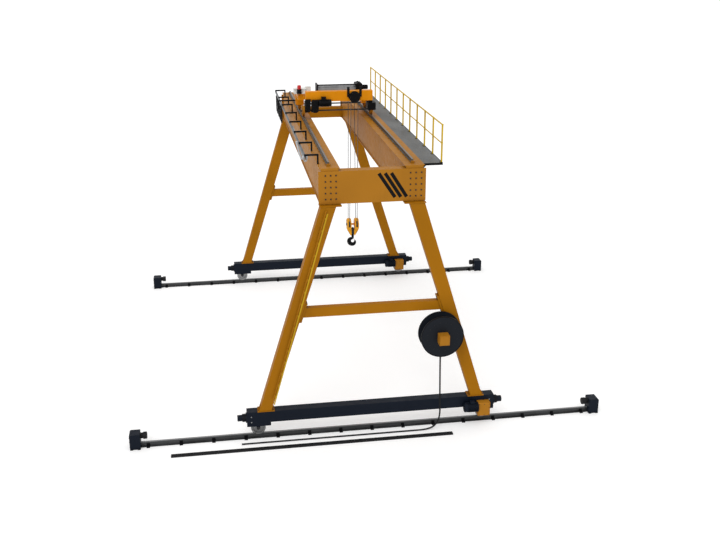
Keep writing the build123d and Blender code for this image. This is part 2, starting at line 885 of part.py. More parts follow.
def make_festoon_brackets():
    """Square-tube brackets: a post on the girder flange and an arm out to the track."""
    half = bracket_size / 2
    brackets = []
    for index in range(bracket_count):
        y = bracket_first_y + bracket_pitch * index
        post = block(bracket_post_x - half, bracket_post_x + half, y - half, y + half,
                     girder_top, bracket_top)
        arm = block(bracket_arm_end_x, bracket_post_x + half, y - half, y + half,
                    bracket_top - bracket_size, bracket_top)
        brackets.append(post + arm)
    return brackets


def make_festoon_track():
    """C-shaped track under the bracket arms, open below for the cable carriers."""
    x = bracket_arm_end_x + track_width / 2
    top = bracket_top - bracket_size
    low = top - track_height
    half = track_width / 2
    track = block(x - half, x + half, track_front_y, track_rear_y, low, top)
    track -= block(x - half + track_wall, x + half - track_wall, track_front_y - overrun,
                   track_rear_y + overrun, low + track_wall, top - track_wall)
    track -= block(x - track_slot / 2, x + track_slot / 2, track_front_y - overrun,
                   track_rear_y + overrun, low - overrun, low + track_wall + overrun)
    return track


def make_festoon_band():
    """Flat band that sags beside the track, with a clamp on the track at each end."""
    side = bracket_arm_end_x + track_width
    near = side + band_gap
    x = near + band_width / 2
    low = bracket_top - bracket_size - track_height
    hang = low + band_thickness
    sagging = [(x, y, low - drop) for y, drop in band_sag]
    line = Spline((x, band_front_y, hang), *sagging, (x, band_rear_y, hang))
    start = Plane(origin=line @ 0, x_dir=(1, 0, 0), z_dir=line % 0)
    band = sweep(start * Rectangle(band_width, band_thickness), path=line)
    for y in (band_front_y, band_rear_y):
        band += block(side, near + band_width, y - band_clamp_half, y + band_clamp_half, low,
                      low + band_clamp_height)
    return band


def make_festoon_loops():
    """Flat cable hanging in loops from carriers under the track."""
    x = bracket_arm_end_x + track_width / 2
    top = bracket_top - bracket_size - track_height
    head_low = top - loop_head_height
    half_x = loop_cable_width / 2
    pitch = (loop_last_y - loop_first_y) / loop_count
    radius = pitch / 2
    loops = None
    for index in range(loop_count):
        y = loop_first_y + pitch * (index + 1 / 2)
        bottom = head_low - loop_drop + radius
        outer = block(x - half_x, x + half_x, y - radius, y + radius, bottom, head_low)
        outer += rod((x - half_x, y, bottom), (x + half_x, y, bottom), radius)
        inner_radius = radius - loop_cable_thickness
        inner = block(x - half_x - overrun, x + half_x + overrun, y - inner_radius, y + inner_radius,
                      bottom, head_low + overrun)
        inner += rod((x - half_x - overrun, y, bottom), (x + half_x + overrun, y, bottom), inner_radius)
        loop = outer - inner
        loops = loop if loops is None else loops + loop
    for index in range(loop_count + 1):
        y = loop_first_y + pitch * index
        loops += block(x - half_x, x + half_x, y - loop_cable_thickness, y + loop_cable_thickness,
                       head_low, top)
    return loops


def make_reel_bracket():
    """Plate on the front right leg's front face with a boss and the reel's fixed axle."""
    face = -leg_depth / 2
    low = reel_z - reel_bracket_half_height
    high = reel_z + reel_bracket_half_height
    outline = [(leg_inner_x(low), low), (leg_outer_x(low), low), (leg_outer_x(high), high),
               (leg_inner_x(high), high)]
    plate = prism_xz(outline, face - reel_bracket_thickness, face)
    arm_left = reel_x - reel_boss_radius
    plate += block(arm_left, leg_outer_x(high), face - reel_bracket_thickness, face, low, high)
    plate += rod((reel_x, face, reel_z), (reel_x, reel_back_y + reel_axle_collar, reel_z), reel_boss_radius)
    axle_end = reel_back_y - reel_depth - slip_ring_gap
    return plate + rod((reel_x, face, reel_z), (reel_x, axle_end, reel_z), reel_axle_radius)


def make_cable_reel():
    """Two flanged discs, a hub and the cable wound between them, turning on the bracket's axle."""
    front = reel_back_y - reel_depth
    inner_back = reel_back_y - reel_flange_thickness
    inner_front = front + reel_flange_thickness
    bore = reel_axle_radius + reel_gap
    lip = reel_radius - reel_flange_lip
    profile = [
        (bore, reel_back_y), (reel_radius, reel_back_y), (reel_radius, inner_back - reel_flange_thickness),
        (lip, inner_back - reel_flange_thickness), (lip, inner_back), (reel_winding_radius, inner_back),
        (reel_winding_radius, inner_front), (lip, inner_front), (lip, inner_front + reel_flange_thickness),
        (reel_radius, inner_front + reel_flange_thickness), (reel_radius, front), (bore, front),
    ]
    return turned(profile, (reel_x, 0, reel_z), (0, 1, 0))


def make_slip_ring_box():
    """Square box on the front end of the reel's axle."""
    back = reel_back_y - reel_depth - slip_ring_gap
    half = slip_ring_size / 2
    box_body = block(reel_x - half, reel_x + half, back - slip_ring_size, back, reel_z - half, reel_z + half)
    front = box_body.faces().sort_by(Axis.Y)[0]
    return chamfer(front.edges(), slip_ring_edge)


def make_supply_cable():
    """Cable from the bottom of the reel's winding to its cut end on the ground."""
    points = [Vector(*p) for p in cable_route]
    radii = []
    for before, here, after in zip(points, points[1:], points[2:]):
        first, second = here - before, after - here
        turn = math.radians(first.get_angle(second))
        radii.append(cable_bend_share * min(first.length, second.length) / math.tan(turn / 2))
    print("supply cable, bend radii in mm:", [round(radius, 1) for radius in radii])
    line = FilletPolyline(*points, radius=radii)
    start = Plane(origin=points[0], z_dir=points[1] - points[0])
    return sweep(start * Circle(cable_radius), path=line)


def make_wheel_housing(front_y, rear_y, bottom, top, axle_y):
    """Right-hand housing: a hollow box with a slot and bearing lugs for one wheel."""
    x = trolley_gauge_half
    half, wall = carriage_width / 2, carriage_wall
    body = hollow_block(x - half, x + half, front_y, rear_y, bottom, top, wall)
    front = max(axle_y - trolley_slot_length / 2, front_y + wall)
    rear = min(axle_y + trolley_slot_length / 2, rear_y - wall)
    body -= block(x - trolley_slot_width / 2, x + trolley_slot_width / 2, front, rear, bottom - overrun,
                  bottom + wall + overrun)
    for side in (-1, 1):
        near, far = trolley_lug_inner, trolley_lug_inner + trolley_lug_thickness
        x0, x1 = sorted((x + side * near, x + side * far))
        lug = block(x0, x1, axle_y - trolley_lug_width / 2, axle_y + trolley_lug_width / 2, trolley_axle_z,
                    top - wall)
        body += lug + rod((x0, axle_y, trolley_axle_z), (x1, axle_y, trolley_axle_z), trolley_lug_width / 2)
    bore = trolley_shaft_radius + trolley_shaft_gap
    bore_end = x + trolley_lug_inner + trolley_lug_thickness + 2 * overrun
    return body - rod((x - half - overrun, axle_y, trolley_axle_z), (bore_end, axle_y, trolley_axle_z), bore)


def make_rear_housing():
    return make_wheel_housing(trolley_rear_y - carriage_length, trolley_rear_y,
                              rail_level + carriage_bottom_lift, rear_cross_beam_bottom, trolley_rear_axle_y)


def make_right_side_beam():
    """Side member from the front beam to the rear one, on the walkway side."""
    return hollow_block(right_side_beam_x, cross_beam_right_x, cross_beam_rear_y, rear_cross_beam_y,
                        bearer_bottom, bearer_top, bearer_wall)


def make_left_side_beam():
    """Side member that carries the cabinet, braced against the left bearer."""
    right = side_beam_left_x + side_beam_width
    beam = hollow_block(side_beam_left_x, right, side_beam_front_y, rear_cross_beam_y, side_beam_bottom,
                        side_beam_top, bearer_wall)
    brace = hollow_block(right, bearer_left_x - bearer_width / 2, side_beam_front_y,
                         side_beam_front_y + side_brace_depth, bearer_bottom, bearer_top, bearer_wall)
    return beam + brace


def make_front_cross_beam():
    return hollow_block(cross_beam_left_x, cross_beam_right_x, trolley_front_y, cross_beam_rear_y,
                        cross_beam_bottom, cross_beam_top, cross_beam_wall)


def make_rear_cross_beam():
    return hollow_block(rear_cross_beam_left_x, cross_beam_right_x, rear_cross_beam_y, trolley_rear_y,
                        rear_cross_beam_bottom, rear_cross_beam_bottom + rear_cross_beam_height,
                        cross_beam_wall)


def trolley_wheel_profile(x):
    half_tread = trolley_wheel_tread / 2
    half_rim = half_tread + trolley_flange_thickness
    half_web = trolley_web_thickness / 2
    rim_inner = trolley_wheel_radius - trolley_rim_thickness
    half = [
        (trolley_shaft_radius, half_rim), (trolley_hub_radius, half_rim), (trolley_hub_radius, half_web),
        (rim_inner, half_web), (rim_inner, half_rim), (trolley_wheel_flange, half_rim),
        (trolley_wheel_flange, half_tread), (trolley_wheel_radius, half_tread),
    ]
    right = [(0, x + half_rim)] + [(r, x + a) for r, a in half]
    left = [(r, x - a) for r, a in reversed(half)] + [(0, x - half_rim)]
    return right + left


def make_trolley_axle(y):
    """Two flanged wheels on one through shaft."""
    end = trolley_gauge_half + trolley_lug_inner + trolley_lug_thickness + overrun
    axle = rod((-end, y, trolley_axle_z), (end, y, trolley_axle_z), trolley_shaft_radius)
    for x in (-trolley_gauge_half, trolley_gauge_half):
        axle += turned(trolley_wheel_profile(x), (0, y, trolley_axle_z), (1, 0, 0))
    return axle


def make_shaft_case(left, right, front_y, rear_y, bottom, rounding, foot_top):
    """A case round the drive shaft, rounded below, with a foot on the front beam's face."""
    body = block(left, right, front_y, rear_y, bottom, cross_beam_bottom)
    body = fillet(body.edges().filter_by(Axis.Y).group_by(Axis.Z)[0], rounding)
    body += block(left, right, front_y, trolley_front_y, cross_beam_bottom - overrun, foot_top)
    y = trolley_front_axle_y
    body += rod((left, y, trolley_axle_z), (right, y, trolley_axle_z), shaft_boss_radius)
    return body - rod((left - overrun, y, trolley_axle_z), (right + overrun, y, trolley_axle_z),
                      trolley_shaft_radius + trolley_shaft_gap)


def make_trolley_reducer():
    return make_shaft_case(reducer_left_x, reducer_right_x, trolley_front_y + reducer_front_back,
                           trolley_front_y + reducer_rear_back, rail_level + reducer_bottom_lift,
                           reducer_round, rail_level + reducer_foot_top_lift)


def make_trolley_motor():
    """Geared motor beside the reducer with its terminal box."""
    y = trolley_front_y + drive_motor_back
    z = rail_level + drive_motor_lift
    barrel = drive_motor_radius - drive_cowl_lip
    body = drive_motor_length - drive_cowl_length
    edge = drive_cowl_lip * 2
    profile = [(0, 0), (barrel, 0), (barrel, body), (drive_motor_radius, body),
               (drive_motor_radius, drive_motor_length - edge),
               (drive_motor_radius - edge, drive_motor_length),
               (0, drive_motor_length)]
    motor = turned(profile, (reducer_right_x, y, z), (1, 0, 0))
    start = reducer_right_x + terminal_box_start
    return motor + block(start, start + terminal_box_length, y - terminal_box_half_depth,
                         y + terminal_box_half_depth, z, z + terminal_box_height)


def make_bearing_case():
    """Bearing case beside the front left wheel."""
    return make_shaft_case(bearing_case_left_x, bearing_case_right_x,
        trolley_front_y + bearing_case_front_back,
                           trolley_front_y + bearing_case_rear_back, rail_level + bearing_case_bottom_lift,
                           bearing_case_round, rail_level + bearing_case_foot_lift)


def make_wheel_box():
    """Housing of the front right wheel, with a neck up to the front beam."""
    top = wheel_box_bottom + wheel_box_height
    box_body = make_wheel_housing(trolley_front_y, trolley_front_y + wheel_box_length, wheel_box_bottom, top,
                                  trolley_front_axle_y)
    return box_body + block(wheel_box_neck_x, cross_beam_right_x, cross_beam_rear_y - wheel_box_neck_depth,
                            cross_beam_rear_y, top, cross_beam_bottom)


def make_equaliser_bracket():
    """Two round cheeks on a pin, hung from two arms up over the front beam."""
    front_cheek = equaliser_y - equaliser_thickness / 2 - equaliser_bracket_gap
    back = trolley_front_y
    z = equaliser_z
    bracket = rod((equaliser_x, back - equaliser_plate, z), (equaliser_x, back, z), equaliser_cheek_radius)
    for side in (-1, 1):
        x = equaliser_x + side * equaliser_arm_spread
        bracket += block(x - equaliser_arm_width / 2, x + equaliser_arm_width / 2,
                         back - equaliser_plate, back,
                         z, rail_level + equaliser_arm_top_lift)
    bracket += block(equaliser_x - equaliser_arm_spread, equaliser_x + equaliser_arm_spread,
                     back - equaliser_plate, back, z - equaliser_arm_width / 2, z + equaliser_arm_width / 2)
    bracket += rod((equaliser_x, back, z), (equaliser_x, front_cheek, z), equaliser_pin_radius)
    return bracket + rod((equaliser_x, front_cheek, z), (equaliser_x, front_cheek - equaliser_plate, z),
                         equaliser_cheek_radius)


equaliser_y = trolley_front_y - equaliser_plate - equaliser_bracket_gap - equaliser_thickness / 2


def make_equaliser_sheave():
    half = equaliser_thickness / 2
    bottom = equaliser_radius - equaliser_groove
    profile = [(equaliser_pin_radius, -half), (equaliser_radius, -half), (bottom, 0),
        (equaliser_radius, half),
               (equaliser_pin_radius, half)]
    return turned(profile, (equaliser_x, equaliser_y, equaliser_z), (0, 1, 0))


def make_hoist_bearer(x):
    """Hollow bearer between the two cross beams."""
    half = bearer_width / 2
    return hollow_block(x - half, x + half, cross_beam_rear_y, rear_cross_beam_y, bearer_bottom, bearer_top,
                        bearer_wall)


def make_drum_frame():
    """End plates of the hoist, held together by a tie rod over the drum and one behind it."""
    top = rail_level + drum_plate_top_lift
    left = frame_left_x
    right = drum_right_x + drum_end_gap
    middle = drum_plate_thickness / 2
    frame = None
    for x in (left, right):
        plate = block(x, x + drum_plate_thickness,
                      drum_y - drum_plate_half_depth, drum_y + drum_plate_half_depth,
                      bearer_top, top)
        plate -= rod((x - overrun, drum_y, drum_z), (x + drum_plate_thickness + overrun, drum_y, drum_z),
                     drum_shaft_radius + drum_gap)
        frame = plate if frame is None else frame + plate
    places = ((drum_y - tie_rod_reach, tie_rod_front_lift), (drum_y + tie_rod_reach, tie_rod_rear_lift))
    for y, lift in places:
        z = rail_level + lift
        frame += rod((left + middle, y, z), (right + middle, y, z), tie_rod_radius)
    return frame


def make_hoist_drum():
    """Hollow rope drum with end flanges and stub shafts."""
    a, b = drum_left_x, drum_right_x
    rim = drum_rim_thickness
    shaft_left = frame_left_x
    shaft_right = frame_right_x
    profile = [
        (0, shaft_left), (drum_shaft_radius, shaft_left), (drum_shaft_radius, a), (drum_rim_radius, a),
        (drum_rim_radius, a + rim), (drum_radius, a + rim),
        (drum_radius, b - rim), (drum_rim_radius, b - rim),
        (drum_rim_radius, b), (drum_shaft_radius, b), (drum_shaft_radius, shaft_right), (0, shaft_right),
        (0, b - rim), (drum_bore_radius, b - rim), (drum_bore_radius, a + rim), (0, a + rim),
    ]
    return turned(profile, (0, drum_y, drum_z), (1, 0, 0))


def make_hoist_gearbox():
    low = rail_level + hoist_gearbox_bottom_lift
    body = block(frame_right_x, hoist_gearbox_right_x, drum_y - hoist_gearbox_half_depth,
                 drum_y + hoist_gearbox_half_depth, low, low + hoist_gearbox_height)
    face = body.faces().sort_by(Axis.X)[-1]
    return chamfer(face.edges(), hoist_gearbox_edge)


def make_hoist_motor():
    body = hoist_motor_length - hoist_motor_cowl
    barrel = hoist_motor_radius - hoist_motor_edge
    profile = [(0, 0), (barrel, 0), (barrel, body), (hoist_motor_radius, body),
               (hoist_motor_radius, hoist_motor_length - hoist_motor_edge), (barrel, hoist_motor_length),
               (0, hoist_motor_length)]
    return turned(profile, (hoist_gearbox_right_x, drum_y, rail_level + hoist_motor_lift), (1, 0, 0))


def make_cabinet():
    """Cabinet on the left side beam with a door panel in front and a small box at its right."""
    front, rear = side_beam_front_y, side_beam_front_y + cabinet_depth
    low, high = side_beam_top, side_beam_top + cabinet_height
    inset = cabinet_door_inset
    body = block(cabinet_left_x, cabinet_right_x, front, rear, low, high)
    body += block(cabinet_left_x - cabinet_door_depth, cabinet_left_x, front + inset, rear - inset,
                  low + inset,
                  high - inset)
    return body + block(cabinet_right_x, side_box_right_x, front + side_box_back,
                        front + side_box_back + side_box_depth, low + side_box_rise,
                        low + side_box_rise + side_box_height)


def make_beacon():
    """Lamp on a round base, on a plate at the cabinet's front."""
    y = side_beam_front_y - beacon_reach
    plate_low = side_beam_top + beacon_plate_rise
    base_low = plate_low + beacon_plate_thickness
    plate = block(beacon_x - beacon_base_radius, beacon_x + beacon_base_radius, y - beacon_base_radius,
                  side_beam_front_y, plate_low, base_low)
    base_top = base_low + beacon_base_height
    top = base_top + beacon_lamp_height
    profile = [(0, base_low), (beacon_base_radius, base_low), (beacon_base_radius, base_top),
               (beacon_lamp_radius, base_top), (beacon_lamp_radius, top - beacon_lamp_edge),
               (beacon_lamp_radius - beacon_lamp_edge, top), (0, top)]
    return plate + turned(profile, (beacon_x, y, 0), (0, 0, 1))


def make_tow_arm():
    """Arm from the left carriage over the festoon track, down its far side and back under it."""
    half = tow_arm_size / 2
    arm = block(tow_arm_outer_x - half, -carriage_outer_x, tow_arm_y - half, tow_arm_y + half,
                tow_arm_z - half,
                tow_arm_z + half)
    arm += block(tow_arm_outer_x - half, tow_arm_outer_x + half, tow_arm_y - half, tow_arm_y + half,
                 tow_drop_low, tow_arm_z + half)
    arm += block(tow_arm_outer_x - half, tow_arm_outer_x + half, tow_arm_y - half, tow_arm_reach_y,
                 tow_drop_low, tow_drop_low + tow_arm_size)
    carrier_side = bracket_arm_end_x + (track_width - loop_cable_width) / 2
    arm += block(tow_arm_outer_x - half, carrier_side, tow_arm_reach_y - tow_arm_size, tow_arm_reach_y,
                 tow_drop_low, tow_drop_low + tow_arm_size)
    return arm


def make_sheave(x):
    half = sheave_thickness / 2
    bottom = sheave_radius - sheave_groove
    profile = [(block_pin_radius, x - half), (sheave_radius, x - half), (bottom, x),
               (sheave_radius, x + half),
               (block_pin_radius, x + half)]
    return turned(profile, (0, hook_y, sheave_height), (1, 0, 0))


def make_sheave_housing(x):
    """Round housing with a slot in front and behind where the rope leaves the sheave."""
    half = housing_width / 2
    y, z = hook_y, sheave_height
    body = rod((x - half, y, z), (x + half, y, z), housing_radius)
    rims = [body.faces().sort_by(Axis.X)[0], body.faces().sort_by(Axis.X)[-1]]
    body = fillet([edge for face in rims for edge in face.edges()], housing_round)
    half_gap = sheave_thickness / 2 + sheave_gap
    body -= rod((x - half_gap, y, z), (x + half_gap, y, z), sheave_radius + sheave_gap)
    reach = housing_radius + overrun
    return body - block(x - half_gap, x + half_gap, y - reach, y + reach, z - housing_slot_low,
                        z + housing_slot_high)


def make_block_frame():
    """Both housings on one pin, and two cheeks that taper down to the crosshead."""
    x, y, z = hook_x, hook_y, sheave_height
    frame = make_sheave_housing(x - sheave_offset) + make_sheave_housing(x + sheave_offset)
    frame += rod((x - block_pin_half_length, y, z), (x + block_pin_half_length, y, z), block_pin_radius)
    top = z - cheek_top_drop
    for side in (-1, 1):
        outline = [(x + side * cheek_inner, top), (x + side * cheek_top_outer, top),
                   (x + side * cheek_bottom_outer, cheek_bottom), (x + side * cheek_inner, cheek_bottom)]
        frame += prism_xz(outline, y - cheek_half_depth, y + cheek_half_depth)
    return frame


def make_crosshead():
    """Block between the two cheeks, which the hook hangs from."""
    return block(hook_x - cheek_inner, hook_x + cheek_inner, hook_y - crosshead_half_depth,
                 hook_y + crosshead_half_depth, crosshead_bottom, sheave_height - crosshead_top_drop)


def oval(height, width):
    """Smooth closed outline through points of an ellipse, one at each eighth of a turn."""
    points = []
    for degrees in range(0, 360, 45):
        a = math.radians(degrees)
        points.append((height / 2 * math.cos(a), width / 2 * math.sin(a)))
    return make_face(Spline(*points, periodic=True))


def make_hook():
    """Forged hook: turned shank, then a curved body of tapering section that opens to the right."""
    x, y = hook_x, hook_y
    centre_z = sheave_height - hook_bottom_drop + hook_throat_depth + hook_mouth_radius
    first_height = hook_sections[0][1]
    arc_top = centre_z + hook_mouth_radius + first_height / 2
    head_top = crosshead_bottom - hook_pin_gap
    head_low = head_top - shank_head_length
    collar_high = head_low - shank_collar_slope
    collar_low = collar_high - shank_collar_length
    taper_low = collar_low - shank_taper_length
    profile = [(0, arc_top), (shank_radius, arc_top), (shank_radius, taper_low),
               (shank_taper_radius, taper_low),
               (shank_collar_radius, collar_low), (shank_collar_radius, collar_high),
               (shank_head_radius, head_low), (shank_head_radius, head_top), (0, head_top)]
    shank = turned(profile, (x, y, 0), (0, 0, 1))
    faces = []
    for angle, height, width in hook_sections:
        a = math.radians(angle)
        reach = hook_mouth_radius + height / 2
        origin = (x + reach * math.cos(a), y, centre_z + reach * math.sin(a))
        across = (math.cos(a), 0, math.sin(a))
        along = (-math.sin(a), 0, math.cos(a))
        plane = Plane(origin=origin, x_dir=across, z_dir=along)
        faces.append(plane * oval(height, width))
    body = shank + loft(faces)
    tip_angle, tip_height = hook_sections[-1][:2]
    a = math.radians(tip_angle)
    reach = hook_mouth_radius + tip_height / 2
    tip = Vector(x + reach * math.cos(a), y, centre_z + reach * math.sin(a) - hook_latch_thickness)
    top = Vector(x + shank_radius / 2, y, arc_top + first_height / 2)
    along = Plane(origin=top, x_dir=(0, 1, 0), z_dir=tip - top)
    latch = along * Box(hook_latch_width, hook_latch_thickness, (tip - top).length,
                        align=(Align.CENTER, Align.CENTER, Align.MIN))
    return body + latch


def rope_seat(radius, groove, thickness):
    """Distance from a sheave's axis to the middle of a rope that lies in its V groove."""
    return radius - groove + rope_radius * math.hypot(thickness / 2, groove) / (thickness / 2) + rope_gap


def make_hoist_ropes():
    """Four rope falls: two from the drum, two from the equaliser sheave."""
    reach = rope_seat(sheave_radius, sheave_groove, sheave_thickness)
    drum_side = drum_radius + rope_radius + rope_gap
    drum_y_front = drum_y - drum_side
    eq_reach = rope_seat(equaliser_radius, equaliser_groove, equaliser_thickness)
    ropes = []
    for side in (-1, 1):
        x = hook_x + side * sheave_offset
        back = (x, hook_y + reach, sheave_height)
        front = (x, hook_y - reach, sheave_height)
        ropes.append(rod(back, (drum_fall_x + side * drum_fall_offset, drum_y_front, drum_z), rope_radius))
        ropes.append(rod(front, (equaliser_x + side * eq_reach, equaliser_y, equaliser_z), rope_radius))
    return ropes


os.makedirs("parts", exist_ok=True)


def save(name, shape):
    """Writes one node; several separate solids go in one compound."""
    if isinstance(shape, list):
        shape = Compound(shape)
    export_step(shape, "parts/" + name + ".step")


front_rail = make_ground_rail()
right_stop = make_end_stop()
right_stop_buffer = make_stop_buffer()
save("front_rail", front_rail)
save("rear_rail", Pos(0, span, 0) * front_rail)
save("rail_clips", make_clips(0) + make_clips(span))
save("end_stops", at_four_corners(right_stop))
save("stop_buffers", at_four_corners(right_stop_buffer))
save("cable_channel", make_cable_channel())

ground_beam = make_ground_beam()
beam_buffer = make_beam_buffer()
save("front_ground_beam", ground_beam)
save("rear_ground_beam", Pos(0, span, 0) * ground_beam)
save("beam_buffers", at_four_corners(beam_buffer))
gearbox = make_travel_gearbox()
motor = make_travel_motor()
save("travel_gearboxes", [gearbox, Pos(0, span, 0) * gearbox])
save("travel_motors", [motor, Pos(0, span, 0) * motor])
save("front_left_wheel", make_travel_wheel(-wheel_x, 0))
save("front_right_wheel", make_travel_wheel(wheel_x, 0))
save("rear_left_wheel", make_travel_wheel(-wheel_x, span))
save("rear_right_wheel", make_travel_wheel(wheel_x, span))

leg = make_leg()
tie = make_tie_beam()
save("front_right_leg", leg)
save("front_left_leg", mirrored_x(leg))
save("rear_right_leg", Pos(0, span, 0) * leg)
save("rear_left_leg", Pos(0, span, 0) * mirrored_x(leg))
save("tie_beams", [tie, Pos(0, span, 0) * tie])

girder = make_girder()
trolley_rail = make_trolley_rail()
rail_stop = make_rail_stop()
save("right_girder", girder)
save("left_girder", mirrored_x(girder))
save("front_end_beam", make_end_beam())
save("rear_end_beam", make_rear_end_beam())
save("trolley_rails", [trolley_rail, mirrored_x(trolley_rail)])
save("trolley_rail_stops", [rail_stop, mirrored_x(rail_stop), across_span(rail_stop),
                            across_span(mirrored_x(rail_stop))])
save("walkway_deck", make_deck())
save("walkway_railing", make_railing())
save("access_ladder", make_ladder())
save("festoon_brackets", make_festoon_brackets())
save("festoon_track", [make_festoon_track(), make_festoon_band()])
save("festoon_loops", make_festoon_loops())

save("reel_bracket", make_reel_bracket())
save("slip_ring_box", make_slip_ring_box())
save("cable_reel", make_cable_reel())
save("supply_cable", make_supply_cable())

housing = make_rear_housing()
save("right_carriage", [housing, make_right_side_beam()])
save("left_carriage", [mirrored_x(housing), make_left_side_beam()])
save("trolley_cross_beams", [make_front_cross_beam(), make_rear_cross_beam()])
save("trolley_drive_axle", make_trolley_axle(trolley_front_axle_y))
save("trolley_idle_axle", make_trolley_axle(trolley_rear_axle_y))
save("trolley_reducer", make_trolley_reducer())
save("trolley_motor", make_trolley_motor())
save("wheel_cover", [make_bearing_case(), make_wheel_box()])
save("equaliser_bracket", make_equaliser_bracket())
save("equaliser_sheave", make_equaliser_sheave())
save("hoist_bearers", [make_hoist_bearer(bearer_left_x), make_hoist_bearer(bearer_right_x)])
save("drum_frame", make_drum_frame())
save("hoist_drum", make_hoist_drum())
save("hoist_gearbox", make_hoist_gearbox())
save("hoist_motor", make_hoist_motor())
save("electric_cabinet", make_cabinet())
save("warning_beacon", make_beacon())
save("tow_arm", make_tow_arm())
save("hoist_ropes", make_hoist_ropes())
save("hook_block", make_block_frame())
save("hook_sheaves",
     [make_sheave(hook_x - sheave_offset), make_sheave(hook_x + sheave_offset), make_crosshead()])
save("hook", make_hook())
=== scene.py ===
import math

import bmesh
import bpy
from mathutils import Matrix, Vector


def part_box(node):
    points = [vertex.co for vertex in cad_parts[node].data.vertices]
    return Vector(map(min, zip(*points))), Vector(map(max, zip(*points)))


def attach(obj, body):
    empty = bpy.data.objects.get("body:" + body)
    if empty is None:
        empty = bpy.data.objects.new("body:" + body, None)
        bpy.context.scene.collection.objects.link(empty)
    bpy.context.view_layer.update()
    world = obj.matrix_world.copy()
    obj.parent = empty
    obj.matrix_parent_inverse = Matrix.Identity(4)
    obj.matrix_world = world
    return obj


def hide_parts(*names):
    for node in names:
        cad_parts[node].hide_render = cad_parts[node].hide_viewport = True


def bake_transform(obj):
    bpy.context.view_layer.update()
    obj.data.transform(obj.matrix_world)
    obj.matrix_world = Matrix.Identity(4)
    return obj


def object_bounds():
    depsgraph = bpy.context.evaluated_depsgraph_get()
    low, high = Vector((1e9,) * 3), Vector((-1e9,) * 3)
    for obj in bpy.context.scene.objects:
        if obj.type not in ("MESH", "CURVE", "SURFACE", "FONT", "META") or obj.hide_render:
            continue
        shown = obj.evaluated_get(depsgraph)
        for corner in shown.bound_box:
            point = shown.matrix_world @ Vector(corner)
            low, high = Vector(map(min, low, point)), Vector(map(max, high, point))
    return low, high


# A rail-mounted gantry crane. Metres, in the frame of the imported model: X along the ground
# rails, Y across the span, Z up.
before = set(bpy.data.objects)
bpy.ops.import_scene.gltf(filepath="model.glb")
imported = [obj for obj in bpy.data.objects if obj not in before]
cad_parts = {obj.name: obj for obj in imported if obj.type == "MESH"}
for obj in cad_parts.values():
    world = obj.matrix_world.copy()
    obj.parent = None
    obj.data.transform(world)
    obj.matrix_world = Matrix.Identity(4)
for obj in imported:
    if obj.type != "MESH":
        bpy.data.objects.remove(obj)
cad_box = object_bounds()

X, Y, Z = Vector((1, 0, 0)), Vector((0, 1, 0)), Vector((0, 0, 1))
FRONT, BACK, RIGHT, LEFT, UP, DOWN = -Y, Y, X, -X, Z, -Z

# Camera of the photograph
CAMERA_PLACE = (-4.244, -24.764, 14.368)
CAMERA_YAW = 8.906
CAMERA_PITCH = 19.983
CAMERA_ROLL = -0.072
CAMERA_LENS = 45.81
CAMERA_SENSOR = 36.0
CAMERA_REACH = 2000.0

# Light
WORLD_LEVEL = 0.78
SUN_LEVEL = 0.95
SUN_ANGLE = 35.0
SUN_TILT = (38.0, -24.0, 0.0)
FLOOR_SIZE = 900.0
FLOOR_COLOUR = (0.86, 0.86, 0.86)
FLOOR_GLOW = 0.27

# Paints and metals, linear colours
OCHRE = (0.42, 0.172, 0.012)
# Darker copy of the ochre: painted shade for the legs, the ties, the rear end beam and the ladder's rear
# stringer.
SHADED_OCHRE = (0.375, 0.146, 0.003)
ORANGE = (0.80, 0.285, 0.002)
HOOK_ORANGE = (0.86, 0.40, 0.022)
YELLOW = (0.64, 0.42, 0.020)
LADDER = (0.54, 0.33, 0.012)
SHAFT = (0.045, 0.046, 0.048)
NAVY = (0.0060, 0.0098, 0.0185)
REEL = (0.0110, 0.0135, 0.0185)
BLACK = (0.0045, 0.0045, 0.0055)
RAIL = (0.085, 0.087, 0.09)
# Lighter rail heads: partly polish from the wheels, partly a painted highlight of the light falling on the
# head.
RAIL_HEAD_POLISH_AND_HIGHLIGHT = (0.30, 0.305, 0.31)
TOP_RAIL = (0.155, 0.150, 0.140)
TOP_RAIL_HEAD_POLISH_AND_HIGHLIGHT = (0.25, 0.245, 0.235)
STEEL = (0.34, 0.345, 0.35)
ZINC = (0.42, 0.43, 0.44)
DARK_STEEL = (0.045, 0.046, 0.05)
ROPE = (0.20, 0.203, 0.21)
DRUM_ROPE = (0.42, 0.425, 0.43)
DECK = (0.135, 0.14, 0.143)
CABINET = (0.88, 0.88, 0.84)
LAMP = (0.62, 0.012, 0.014)
RUBBER = (0.0065, 0.0065, 0.0075)
CABLE = (0.0065, 0.0065, 0.0075)
# Light grey of the festoon track's side towards +X: a painted highlight standing for a reflection along that
# side.
TRACK_SIDE_HIGHLIGHT = (0.46, 0.47, 0.48)
OUTER_BAND = (0.62, 0.63, 0.64)
TRACK = (0.19, 0.20, 0.21)
# X limits across which the festoon track turns to its painted highlight.
TRACK_HIGHLIGHT_SPAN = (-1.812, -1.806)
# Y limits across which the ladder turns from its yellow to the darker ochre: painted shade on the rear
# stringer.
LADDER_SHADE_SPAN = (-0.50, -0.24)
AXLE_CORE = (0.075, 0.085)
DRAWN = (1.0, 0.05, 1.0)
EDGE_ANGLE = 35.0

